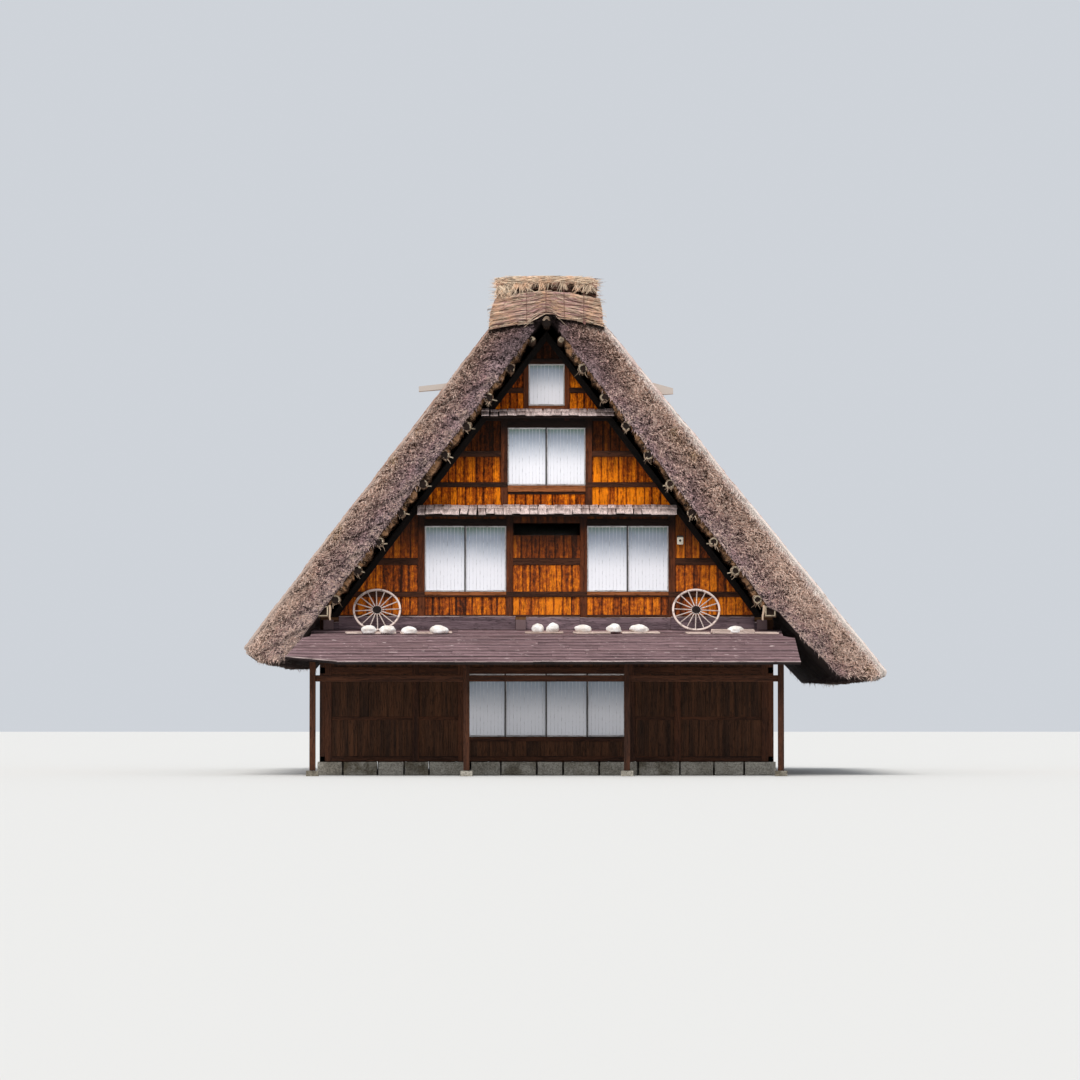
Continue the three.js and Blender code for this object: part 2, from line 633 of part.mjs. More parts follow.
const T = PLANK.thick;
const LEFT_WEIGHTS = {
  planks: [[-4440, -3250, 60], [-3260, -2320, 100], [-2650, -2080, 0]],
  stones: [[-3920, 60, T, 340, 240, 200, 0.2], [-3510, 60, T, 370, 250, 200, -0.3], [-3030, 100, T, 360, 230, 180, 0.1], [-2370, 0, T, 420, 250, 210, -0.2]],
};
const MIDDLE_WEIGHTS = {
  planks: [[-500, 610, 40], [600, 1430, 70], [1420, 2530, 40]],
  stones: [[-200, 40, T, 270, 230, 210, 0.5], [130, 40, T, 290, 230, 230, -0.4], [800, 70, T, 380, 240, 180, 0], [1480, 40, T, 350, 230, 210, 0.4], [2040, 40, T, 440, 250, 190, -0.1]],
};
const RIGHT_WEIGHTS = {
  planks: [[3066, 3640, 110], [3626, 4597, 60, 80], [4560, 5149, 110]],
  stones: [[4165, 60, 80, 370, 240, 170, 0.1]],
};

// Small lamp box on the right-hand bay of the lower storey
function lampBox() {
  const face = -HALF_LENGTH + BOARD_INSET - GAP;
  return box(2895, 3045, face - 80, face, 5120, 5320);
}

// Assembly
place("stone_footing", stoneFooting(), STONE);
place("ground_floor", groundFloor(), FLOOR_WOOD);

const innerHalf = WALL_OUT - WALL_THICK - GAP;
const groundHole = [-GROUND_WINDOW.half, GROUND_WINDOW.half];
for (const front of [true, false]) {
  const end = front ? "front" : "back";
  const put = (name, shape, material) => place(`${end}_${name}`, facing(shape, front), material);
  const onFace = (shape) => shape.translate([0, -HALF_LENGTH, 0]);
  put("ground_wall", onFace(groundWall(-innerHalf, innerHalf, groundHole)), OLD_WOOD);
  put("ground_screens", onFace(groundScreens(0)), SCREEN);
  put("gable_wall", gableWall(), BOARD_WOOD);
  const { centre, half, low, high } = LOWER_WINDOW;
  put("left_screens", onFace(screens(-centre - half, -centre + half, low, high, 2)), SCREEN);
  put("right_screens", onFace(screens(centre - half, centre + half, low, high, 2)), SCREEN);
  const middle = MIDDLE_WINDOW;
  put("middle_screens", onFace(screens(-middle.half, middle.half, middle.low, middle.high, 2)), SCREEN);
  put("top_screen", onFace(screens(-TOP_WINDOW.half, TOP_WINDOW.half, TOP_WINDOW.low, TOP_WINDOW.high, 1)), SCREEN);
  put("lower_small_roof", smallRoof(LOWER_SMALL_ROOF), SHAKE);
  put("upper_small_roof", smallRoof(UPPER_SMALL_ROOF), SHAKE);
  place(`${end}_lean_to_roof`, leanToRoof(front), SHEET_METAL);
  place(`${end}_lean_to_frame`, leanToFrame(front), OLD_WOOD);
}

place("left_ground_wall", onSideWall(groundWall(-HALF_LENGTH, HALF_LENGTH, groundHole), -1), OLD_WOOD);
place("left_ground_screens", onSideWall(groundScreens(0), -1), SCREEN);
place("right_wall_front", onSideWall(groundWall(-HALF_LENGTH, DOOR.near - GAP), 1), OLD_WOOD);
place("right_wall_back", onSideWall(groundWall(DOOR.far + GAP, HALF_LENGTH), 1), OLD_WOOD);
place(
  "right_wall_over_door",
  box(WALL_OUT - WALL_THICK, WALL_OUT, DOOR.near, DOOR.far, DOOR.high, WALL_TOP),
  OLD_WOOD,
);
place("entrance_doors", onSideWall(entranceDoors(), 1), OLD_WOOD);

place("attic_beams", atticBeams(), OLD_WOOD);
place("attic_floor_lower", lowerAtticFloor(), FLOOR_WOOD);
place("attic_floor_middle", upperAtticFloor(MIDDLE_DECK), FLOOR_WOOD);
place("attic_floor_upper", upperAtticFloor(UPPER_DECK), FLOOR_WOOD);

for (const [name, side] of [["left", -1], ["right", 1]]) {
  place(`${name}_roof_frame`, roofFrame(side), OLD_WOOD);
  place(`${name}_eave_beam`, eaveBeam(side), OLD_WOOD);
  place(`${name}_thatch`, thatch(side), THATCH);
}
place("ridge_pole", ridgePole(), PALE_WOOD);
place("ridge_cap", ridgeCap(), STRAW);
const LEDGE_BACK = 270; // the ledges sit this far behind the front verge
const LEDGE_WIDE = 240;
const LEDGE_Y = -(HALF_LENGTH + VERGE - LEDGE_BACK);
const LEFT_LEDGE = { high: 8670, low: 8535, tip: 2830, tipHigh: 8600, tipLow: 8490, y0: LEDGE_Y, y1: LEDGE_Y + LEDGE_WIDE };
const RIGHT_LEDGE = { high: 8690, low: 8420, tip: 2800, tipHigh: 8560, tipLow: 8440, y0: LEDGE_Y, y1: LEDGE_Y + LEDGE_WIDE };
place("left_slope_ledge", slopeLedge(-1, LEFT_LEDGE), PALE_WOOD);
place("right_slope_ledge", slopeLedge(1, RIGHT_LEDGE), PALE_WOOD);

place("left_cart_wheel", cartWheel(-3760), PALE_WOOD);
place("right_cart_wheel", cartWheel(3315), PALE_WOOD);
place("left_weighted_boards", weightedBoards(LEFT_WEIGHTS.planks, LEFT_WEIGHTS.stones), PALE_STONE);
place("middle_weighted_boards", weightedBoards(MIDDLE_WEIGHTS.planks, MIDDLE_WEIGHTS.stones), PALE_STONE);
place("right_weighted_boards", weightedBoards(RIGHT_WEIGHTS.planks, RIGHT_WEIGHTS.stones), PALE_STONE);
place("lamp_box", lampBox(), LAMP_WHITE);

const farmhouse = new THREE.Group();
farmhouse.add(house);

export default farmhouse;
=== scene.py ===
import itertools
import math

import bmesh
import bpy
import numpy as np
from mathutils import Matrix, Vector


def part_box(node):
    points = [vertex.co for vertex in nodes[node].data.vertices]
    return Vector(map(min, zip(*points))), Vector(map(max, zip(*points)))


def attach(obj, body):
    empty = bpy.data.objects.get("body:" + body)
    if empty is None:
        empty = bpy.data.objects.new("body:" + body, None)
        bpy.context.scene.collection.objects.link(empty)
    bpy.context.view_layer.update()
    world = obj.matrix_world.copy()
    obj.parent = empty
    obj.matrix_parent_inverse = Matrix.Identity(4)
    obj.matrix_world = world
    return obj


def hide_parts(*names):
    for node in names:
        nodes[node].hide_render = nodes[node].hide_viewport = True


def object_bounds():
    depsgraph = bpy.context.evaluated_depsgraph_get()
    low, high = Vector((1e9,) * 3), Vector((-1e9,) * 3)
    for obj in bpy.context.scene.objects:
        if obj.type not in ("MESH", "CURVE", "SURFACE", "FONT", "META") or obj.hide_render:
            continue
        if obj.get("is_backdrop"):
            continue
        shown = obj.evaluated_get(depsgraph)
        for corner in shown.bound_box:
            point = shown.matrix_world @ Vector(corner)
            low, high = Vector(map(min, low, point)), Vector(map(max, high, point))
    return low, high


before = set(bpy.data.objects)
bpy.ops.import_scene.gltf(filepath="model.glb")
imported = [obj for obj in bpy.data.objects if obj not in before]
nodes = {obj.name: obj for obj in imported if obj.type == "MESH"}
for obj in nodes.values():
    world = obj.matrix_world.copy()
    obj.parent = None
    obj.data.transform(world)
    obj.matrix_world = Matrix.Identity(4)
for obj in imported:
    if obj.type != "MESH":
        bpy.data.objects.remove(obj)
cad_low, cad_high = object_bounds()

# Camera, floor and light
# The photograph is taken from far in front of the gable, a little left of the ridge, at eye height.
# The camera repeats that view. The floor, the pale sky and one wide soft sun are a plain studio.
RIDGE_X = sum(corner.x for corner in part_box("ridge_pole")) / 2
GABLE_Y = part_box("front_gable_wall")[0].y
EYE_HEIGHT = 1.2
EYE_LEFT = 0.147
EYE_AWAY = 100
EYE_TILT = 92.304
camera_data = bpy.data.cameras.new("camera")
camera_data.lens = 150
camera_data.sensor_width = 36
camera_data.clip_end = 600
camera = bpy.data.objects.new("camera", camera_data)
camera.location = (RIDGE_X - EYE_LEFT, GABLE_Y - EYE_AWAY, EYE_HEIGHT)
camera.rotation_euler = (math.radians(EYE_TILT), 0, 0)
bpy.context.scene.collection.objects.link(camera)
bpy.context.scene.camera = camera
bpy.context.scene.view_settings.view_transform = "Standard"


def shade(red, green, blue):
    """A colour as a screen shows it, 0 to 255, turned into the linear colour that a shader takes."""
    parts = [part / 255 for part in (red, green, blue)]
    return tuple(((part + 0.055) / 1.055) ** 2.4 if part > 0.04 else part / 12.92 for part in parts) + (1.0,)


def add(tree, kind, inputs=None, **settings):
    """One node in a tree: its settings, then its sockets, each given a value or joined to another socket."""
    made = tree.nodes.new(kind)
    for name, value in settings.items():
        setattr(made, name, value)
    for name, value in (inputs or {}).items():
        if isinstance(value, bpy.types.NodeSocket):
            tree.links.new(value, made.inputs[name])
        else:
            made.inputs[name].default_value = value
    return made


def finish(name, roughness=0.9, specular=0.25):
    """A new material, its tree and its shader."""
    material = bpy.data.materials.new(name)
    material.use_nodes = True
    shader = material.node_tree.nodes["Principled BSDF"]
    shader.inputs["Roughness"].default_value = roughness
    shader.inputs["Specular IOR Level"].default_value = specular
    return material, material.node_tree, shader


def wear(tree, shader, colour, height=None, depth=0.01):
    """Joins a surface's colour and relief to its shader."""
    tree.links.new(colour, shader.inputs["Base Color"])
    if height is not None:
        bump = add(tree, "ShaderNodeBump", {"Height": height, "Distance": depth, "Strength": 1.0})
        tree.links.new(bump.outputs["Normal"], shader.inputs["Normal"])


def noise(tree, place, scale, detail=3.0, roughness=0.55):
    looks = {"Vector": place, "Scale": scale, "Detail": detail, "Roughness": roughness}
    return add(tree, "ShaderNodeTexNoise", looks).outputs["Fac"]


def step(tree, value, low, high, start=0.0, end=1.0):
    """A smooth change from start to end as a value goes from low to high."""
    limits = {"Value": value, "From Min": low, "From Max": high, "To Min": start, "To Max": end}
    return add(tree, "ShaderNodeMapRange", limits, interpolation_type="SMOOTHSTEP").outputs[0]


def sums(tree, how, *values):
    return add(tree, "ShaderNodeMath", dict(enumerate(values)), operation=how).outputs[0]


def vector_sum(tree, how, *values):
    return add(tree, "ShaderNodeVectorMath", dict(enumerate(values)), operation=how).outputs[0]


def plus(tree, total, *values):
    for value in values:
        total = sums(tree, "ADD", total, value)
    return total


def minus(tree, first, second):
    return sums(tree, "SUBTRACT", first, second)


def times(tree, total, *values):
    for value in values:
        total = sums(tree, "MULTIPLY", total, value)
    return total


def mix(tree, amount, first, second, how="MIX"):
    return add(tree, "ShaderNodeMix", {0: amount, 6: first, 7: second}, data_type="RGBA",
               blend_type=how).outputs[2]


def layered(tree, colour, layers):
    """A colour with others laid over it, each as an amount and a colour as a screen shows it."""
    for amount, tone in layers:
        colour = mix(tree, amount, colour, shade(*tone))
    return colour


def between(tree, amount, low, high):
    """A number part of the way from low to high."""
    return add(tree, "ShaderNodeMix", {0: amount, 2: low, 3: high}).outputs[0]


def ramp(tree, value, *stops):
    """A colour that runs through stops, each a value and a colour, as a value rises."""
    made = add(tree, "ShaderNodeValToRGB", {"Fac": value})
    marks = made.color_ramp.elements
    for _ in range(len(stops) - 2):
        marks.new(1.0)
    for mark, (place, colour) in zip(marks, stops):
        mark.position = place
        mark.color = colour
    return made.outputs["Color"]


def scaled(tree, colour, amount):
    """A colour made brighter or darker, never above the white of a real surface."""
    bright = add(tree, "ShaderNodeVectorMath", {0: colour, "Scale": amount}, operation="SCALE").outputs[0]
    return vector_sum(tree, "MINIMUM", bright, (0.90, 0.90, 0.90))


def stretched(tree, place, sizes):
    return add(tree, "ShaderNodeMapping", {"Vector": place, "Scale": sizes}).outputs[0]


def axes(tree, place):
    """The three parts of a vector."""
    return add(tree, "ShaderNodeSeparateXYZ", {0: place}).outputs


def joined(tree, x, y, z):
    """A vector from its three parts."""
    return add(tree, "ShaderNodeCombineXYZ", {0: x, 1: y, 2: z}).outputs[0]


def trait(tree, name, output="Fac"):
    """A value that the mesh carries at its points."""
    return add(tree, "ShaderNodeAttribute", attribute_name=name).outputs[output]


def object_place(tree):
    return add(tree, "ShaderNodeTexCoord").outputs["Object"]


FLOOR_REACH = 400
floor_mesh = bpy.data.meshes.new("floor")
floor_corners = [(-FLOOR_REACH, -FLOOR_REACH, 0), (FLOOR_REACH, -FLOOR_REACH, 0),
                 (FLOOR_REACH, FLOOR_REACH, 0), (-FLOOR_REACH, FLOOR_REACH, 0)]
floor_mesh.from_pydata(floor_corners, [], [(0, 1, 2, 3)])
floor = bpy.data.objects.new("floor", floor_mesh)
bpy.context.scene.collection.objects.link(floor)
FLOOR, tree, shader = finish("pale_floor", 0.9)
shader.inputs["Base Color"].default_value = shade(214, 213, 210)
floor_mesh.materials.append(FLOOR)
floor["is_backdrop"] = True

world = bpy.data.worlds.new("pale_sky")
world.use_nodes = True
world.node_tree.nodes["Background"].inputs["Color"].default_value = shade(228, 233, 240)
world.node_tree.nodes["Background"].inputs["Strength"].default_value = 0.80
bpy.context.scene.world = world
sun_data = bpy.data.lights.new("soft_sun", "SUN")
sun_data.energy = 2.5
sun_data.angle = math.radians(35)
sun_data.color = (1.0, 0.97, 0.93)
sun = bpy.data.objects.new("soft_sun", sun_data)
sun.rotation_euler = (math.radians(34), 0, math.radians(-14))
bpy.context.scene.collection.objects.link(sun)


# Stone footing
# A low ring of rough split stones, laid dry in one course, carries the ground walls. Each stone is a
# block with its own length, broken edges and a slightly uneven face.
def lattice(points, size, seed=0):
    """Smooth noise between -1 and 1 over an array of points, with lumps about `size` metres across."""
    scaled = np.asarray(points, float) / size + 13.7 * seed
    cell = np.floor(scaled).astype(np.int64)
    part = scaled - cell
    part = part * part * (3 - 2 * part)
    total = np.zeros(scaled.shape[:-1])
    for corner in itertools.product((0, 1), repeat=3):
        x, y, z = np.moveaxis(cell + corner, -1, 0)
        mixed = (x * 73856093) ^ (y * 19349663) ^ (z * 83492791) ^ (seed * 40503 + 977)
        mixed = (mixed ^ (mixed >> 13)) * 1274126177
        value = ((mixed ^ (mixed >> 16)) & 0xFFFF) / 32767.5 - 1
        total += value * np.prod(np.where(corner, part, 1 - part), axis=-1)
    return total


def columns(*parts):
    """Rows of numbers, one row for each point, from their columns."""
    return np.stack(parts, axis=1)


def square_to(direction):
    """Two unit directions square to a direction."""
    along = np.asarray(direction, float)
    along = along / np.linalg.norm(along)
    other = np.array([0, 0, 1.0]) if abs(along[2]) < 0.9 else np.array([0, 1.0, 0])
    first = np.cross(other, along)
    first = first / np.linalg.norm(first)
    return first, np.cross(along, first)


class Batch:
    """Like parts gathered into one mesh. Each point knows its grain, as metres across and along the part
    and a number of its own, its tone from 0 to 1, and its spot on the face of the part."""

    def __init__(self, seed):
        self.chance = np.random.default_rng(seed)
        self.points = []
        self.faces = []
        self.grain = []
        self.tone = []
        self.spot = []
        self.count = 0

    def put(self, points, faces, grain, tone, spot=None):
        points = np.asarray(points, float)
        tone = self.chance.random() if tone is None else tone
        self.faces.extend([[self.count + corner for corner in face] for face in faces])
        self.points.append(points)
        self.grain.append(grain)
        self.tone.append(np.full(len(points), float(tone)))
        self.spot.append(np.zeros((len(points), 3)) if spot is None else np.asarray(spot, float))
        self.count += len(points)

    def member(self, outline, sweep, along, tone=None, spot=None):
        """A straight part: a flat outline carried along sweep, with its grain along a direction."""
        outline = np.asarray(outline, float)
        sweep = np.asarray(sweep, float)
        spot = None if spot is None else np.asarray(spot, float)
        after = np.roll(outline, -1, axis=0)
        if np.cross(outline, after).sum(axis=0) @ sweep > 0:
            outline = outline[::-1]
            spot = None if spot is None else spot[::-1]
        sides = len(outline)
        points = np.vstack([outline, outline + sweep])
        faces = [list(range(sides)), [sides + corner for corner in reversed(range(sides))]]
        for corner in range(sides):
            after = (corner + 1) % sides
            faces.append([corner, sides + corner, sides + after, after])
        first, second = square_to(along)
        run = np.asarray(along, float) / np.linalg.norm(along)
        own = np.full(len(points), self.chance.random())
        grain = columns(points @ first + points @ second, points @ run, own)
        self.put(points, faces, grain, tone, None if spot is None else np.vstack([spot, spot]))

    def box(self, low, high, along="z", tone=None):
        (x0, y0, z0), (x1, y1, z1) = low, high
        outline = [(x0, y0, z0), (x1, y0, z0), (x1, y1, z0), (x0, y1, z0)]
        direction = {"x": (1, 0, 0), "y": (0, 1, 0), "z": (0, 0, 1)}[along]
        self.member(outline, (0, 0, z1 - z0), direction, tone)

    def tube(self, path, radius, sides=8, tone=None):
        """A round part along a path. The radius is one number or one for each point."""
        path = np.asarray(path, float)
        radii = np.broadcast_to(radius, len(path))
        ways = np.gradient(path, axis=0)
        ways = ways / np.linalg.norm(ways, axis=1, keepdims=True)
        first = square_to(ways[0])[0]
        angles = np.arange(sides) * 2 * math.pi / sides
        length = 0.0
        points = []
        grain = []
        own = self.chance.random()
        for index, (centre, way, size) in enumerate(zip(path, ways, radii)):
            first = first - way * (first @ way)
            first = first / np.linalg.norm(first)
            second = np.cross(way, first)
            if index:
                length += np.linalg.norm(centre - path[index - 1])
            ring = centre + size * (np.outer(np.cos(angles), first) + np.outer(np.sin(angles), second))
            points.append(ring)
            across = np.sin(angles) * size + np.cos(angles) * size
            grain.append(columns(across, np.full(sides, length), np.full(sides, own)))
        faces = [list(reversed(range(sides)))]
        for ring in range(len(path) - 1):
            for side in range(sides):
                after = (side + 1) % sides
                base = ring * sides
                faces.append([base + side, base + after, base + sides + after, base + sides + side])
        last = (len(path) - 1) * sides
        faces.append([last + side for side in range(sides)])
        self.put(np.vstack(points), faces, np.vstack(grain), tone)

    def made(self, name, material, slot, replaced, bevel=0.0):
        """The finished piece, in the scene and on its body."""
        mesh = bpy.data.meshes.new(name)
        mesh.from_pydata(np.vstack(self.points).tolist(), [], self.faces)
        carry(mesh, "grain", np.vstack(self.grain), "FLOAT_VECTOR")
        carry(mesh, "tone", np.concatenate(self.tone), "FLOAT")
        carry(mesh, "spot", np.vstack(self.spot), "FLOAT_VECTOR")
        piece = settle(name, mesh, material, replaced)
        if bevel:
            edges = piece.modifiers.new("edges", "BEVEL")
            edges.width = bevel
            edges.segments = 1
            edges.limit_method = "ANGLE"
            edges.use_clamp_overlap = True
        return piece


def carry(mesh, name, values, kind):
    """Stores values at the points of a mesh under a name that its material reads."""
    attribute = mesh.attributes.new(name, kind, "POINT")
    field = "vector" if kind == "FLOAT_VECTOR" else "value"
    attribute.data.foreach_set(field, np.asarray(values, np.float32).ravel())


def settle(name, mesh, material, replaced):
    """Puts a finished mesh in the scene as a piece that rides on the house and stands for CAD nodes."""
    if material is not None:
        mesh.materials.clear()
        mesh.materials.append(material)
    piece = bpy.data.objects.new(name, mesh)
    bpy.context.scene.collection.objects.link(piece)
    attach(piece, "root")
    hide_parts(*replaced)
    return piece


def group(name, inputs, outputs, family="Shader"):
    """An empty node group, the sockets it starts from and those it ends in. Each socket is given as its
    label and kind, with a value where it needs one."""
    tree = bpy.data.node_groups.new(name, family + "NodeTree")
    for way, sockets in (("INPUT", inputs), ("OUTPUT", outputs)):
        for label, kind, *value in sockets:
            socket = tree.interface.new_socket(label, in_out=way, socket_type="NodeSocket" + kind)
            if value:
                socket.default_value = value[0]
    return tree, tree.nodes.new("NodeGroupInput").outputs, tree.nodes.new("NodeGroupOutput").inputs


def placed(tree, effect, inputs):
    """What a shader group gives in a material, with the material's own values."""
    return add(tree, "ShaderNodeGroup", inputs, node_tree=effect).outputs


# Grit, shared by stone, thatch and straw: cells of random tint with dark seams between them
GRIT, start, end = group("grit", [("Place", "Vector"), ("Cells", "Float", 20.0)],
                         [("Tint", "Float"), ("Seam", "Float")])
cells = add(GRIT, "ShaderNodeTexVoronoi", {"Vector": start["Place"], "Scale": start["Cells"]})
apart = add(GRIT, "ShaderNodeSeparateColor", {0: cells.outputs["Color"]})
GRIT.links.new(apart.outputs[0], end["Tint"])
GRIT.links.new(step(GRIT, cells.outputs["Distance"], 0.2, 0.75), end["Seam"])

STONE, tree, shader = finish("split_stone", 0.92)
place = object_place(tree)
tint = placed(tree, GRIT, {"Place": place, "Cells": 42.0})["Tint"]
patch = step(tree, noise(tree, place, 2.3, 4), 0.35, 0.65)
speck = mix(tree, tint, shade(132, 127, 118), shade(186, 180, 168))
colour = mix(tree, patch, speck, shade(150, 143, 128), "MULTIPLY")
colour = mix(tree, step(tree, trait(tree, "tone"), 0.0, 1.0), colour, speck)
wear(tree, shader, colour, plus(tree, noise(tree, place, 30, 6, 0.7), patch), 0.012)

RING = 0.32
BLOCK_LONG = 0.75
BLOCK_JOINT = 0.009


def shape_points(shape):
    """The points and faces of a worked shape, sorted so that each run has them in one order."""
    points = np.array([v.co for v in shape.verts])
    order = np.lexsort(points.T)
    rank = np.argsort(order)
    faces = sorted([int(rank[v.index]) for v in f.verts] for f in shape.faces)
    shape.free()
    return points[order], faces


def rough_blocks(batch, low, high, lengthwise, size):
    """A row of broken blocks that fills a box, with joints between them."""
    low, high = np.array(low, float), np.array(high, float)
    axis = "xy".index(lengthwise)
    at, end = low[axis], high[axis]
    while at < end - 0.05:
        reach = min(end, at + size * batch.chance.uniform(0.7, 1.25))
        if end - reach < size * 0.5:
            reach = end
        low[axis] = at + BLOCK_JOINT
        high[axis] = reach - BLOCK_JOINT
        block = bmesh.new()
        bmesh.ops.create_cube(block, size=1)
        bmesh.ops.bevel(block, geom=block.edges[:], offset=0.05, segments=2, affect="EDGES", profile=0.6)
        bmesh.ops.subdivide_edges(block, edges=[e for e in block.edges if e.calc_length() > 0.4], cuts=3,
                                  use_grid_fill=True)
        points, faces = shape_points(block)
        centre = (low + high) / 2
        points = centre + points * (high - low)
        inward = (centre - points) / np.linalg.norm(centre - points, axis=1, keepdims=True)
        points = points + inward * (0.010 + 0.010 * lattice(points, 0.12, 3))[:, None]
        batch.put(points, faces, np.zeros((len(points), 3)), None)
        at = reach


footing = Batch(11)
low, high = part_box("stone_footing")
for y in (low.y, high.y - RING):
    rough_blocks(footing, (low.x, y, 0), (high.x, y + RING, high.z), "x", BLOCK_LONG)
for x in (low.x, high.x - RING):
    rough_blocks(footing, (x, low.y + RING, 0), (x + RING, high.y - RING, high.z), "y", BLOCK_LONG)
footing.made("stone_footing_blocks", STONE, "stone", ["stone_footing"])


# Ground floor and attic floors
# Wide planed boards, worn smooth underfoot. They run the length of the house, with a fine joint every
# 21 cm. Their solids are right as they are, so each keeps its shape and gets this finish.
GRAIN, start, end = group("wood_grain", [("Place", "Vector"), ("Fineness", "Float"), ("Length", "Float")],
                          [("Streaks", "Float"), ("Fibres", "Float"), ("Checks", "Float")])
across, along, own = axes(GRAIN, start["Place"])
lined = joined(GRAIN, across, times(GRAIN, along, start["Length"]), times(GRAIN, own, 37.0))
cracks = minus(GRAIN, noise(GRAIN, lined, start["Fineness"], 2), 0.5)
GRAIN.links.new(noise(GRAIN, lined, times(GRAIN, start["Fineness"], 0.3), 3), end["Streaks"])
GRAIN.links.new(noise(GRAIN, lined, times(GRAIN, start["Fineness"], 4.0), 4, 0.6), end["Fibres"])
GRAIN.links.new(step(GRAIN, sums(GRAIN, "ABSOLUTE", cracks), 0.0, 0.03, 1.0, 0.0), end["Checks"])


def grained(tree, fineness, length=0.06, place=None):
    """Wood grain: its streaks, its fibres and its checks, from 0 to 1."""
    place = trait(tree, "grain", "Vector") if place is None else place
    return placed(tree, GRAIN, {"Place": place, "Fineness": fineness, "Length": length})


def coat(name, material):
    """Gives a node that keeps its solid its finish."""
    nodes[name].data.materials.clear()
    nodes[name].data.materials.append(material)


BOARD_PITCH = 0.21
FLOOR_BOARDS, tree, shader = finish("floor_boards", 0.75, specular=0.12)
x, y, z = axes(tree, object_place(tree))
board = sums(tree, "DIVIDE", x, BOARD_PITCH)
own = {"W": sums(tree, "FLOOR", board)}
own = add(tree, "ShaderNodeTexWhiteNoise", own, noise_dimensions="1D").outputs[0]
streaks, fibres = grained(tree, 36.0, place=joined(tree, x, y, own))[:2]
gap = step(tree, sums(tree, "PINGPONG", board, 0.5), 0.0, 0.025, 1.0, 0.0)
colour = mix(tree, streaks, shade(84, 56, 36), shade(142, 104, 70))
colour = layered(tree, colour, [
    (times(tree, own, 0.5), (112, 78, 52)),
    (gap, (24, 15, 10))])
# The attic floors are black with soot, and the same near black stands in for the shade seen through the gable
# vent, painted shade.
soot_and_shade = step(tree, z, 4.5, 5.5, 0.0, 0.92)
colour = mix(tree, soot_and_shade, colour, shade(14, 9, 7))
wear(tree, shader, colour, minus(tree, times(tree, fibres, 0.2), gap), 0.006)
for name in ("ground_floor", "attic_floor_lower", "attic_floor_middle", "attic_floor_upper"):
    coat(name, FLOOR_BOARDS)


# Ground storey walls
# Dark posts one bay apart stand on the footing, tied by level rails, with upright boards let in between
# them. Four walls close the ground storey, and the right one is open in the middle for the entrance.
HALF_LENGTH = -GABLE_Y
WALL_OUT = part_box("right_eave_beam")[1].x - RIDGE_X
WALL_THICK = 0.12
BOARD_DEPTH = (0.030, 0.090)
POST = 0.15
KEN = 1.82
SILL = 0.12
LINTEL = 0.15
MID_RAIL = (1.22, 1.30)
BOARD_WIDTH = 0.190
BOARD_GAP = 0.002
WALL_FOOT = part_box("left_ground_wall")[0].z
WALL_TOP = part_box("left_ground_wall")[1].z
WINDOW = {"half": KEN, "low": 0.85, "high": 2.25}
FRONT, BACK, LEFT, RIGHT = "front", "back", "left", "right"


def facing(side):
    """The way a gable end looks along the house."""
    return -1 if side == FRONT else 1


def wall_line(side):
    """Turns a wall's own places, (along it, depth behind its outer face, height), into the house's."""
    if side in (FRONT, BACK):
        return lambda u, depth, z: (RIDGE_X + u, facing(side) * (HALF_LENGTH - depth), z)
    way = -1 if side == LEFT else 1
    return lambda u, depth, z: (RIDGE_X + way * (WALL_OUT - depth), u, z)


def trimmed(outline, cuts):
    """An outline cut by lines: each (a, b, c) keeps the side where a*u + b*v is at most c."""
    for a, b, c in cuts:
        kept = []
        for index, point in enumerate(outline):
            after = outline[(index + 1) % len(outline)]
            here = a * point[0] + b * point[1] - c
            there = a * after[0] + b * after[1] - c
            if here <= 0:
                kept.append(point)
            if here * there < 0:
                share = here / (here - there)
                kept.append(tuple(p + share * (q - p) for p, q in zip(point, after)))
        outline = kept
    return outline


def oblong(u0, u1, v0, v1):
    return [(u0, v0), (u1, v0), (u1, v1), (u0, v1)]


def area_of(outline):
    pairs = zip(outline, outline[1:] + outline[:1])
    return abs(sum(a[0] * b[1] - b[0] * a[1] for a, b in pairs)) / 2


def plank(batch, line, outline, near, far, level=False, tone=None, spot=None):
    """A plank or bar in a wall, with its face at one depth and its back at another."""
    face = np.array([line(u, near, z) for u, z in outline])
    back = np.subtract(line(outline[0][0], far, outline[0][1]), face[0])
    along = np.subtract(line(1, 0, 0), line(0, 0, 0)) if level else (0, 0, 1)
    batch.member(face, back, along, tone, spot)


def bar(batch, line, u0, u1, z0, z1, near=0.0, far=WALL_THICK, cuts=(), tone=None):
    outline = trimmed(oblong(u0, u1, z0, z1), cuts)
    if len(outline) > 2 and area_of(outline) > 0.001:
        plank(batch, line, outline, near, far, u1 - u0 > z1 - z0, tone)


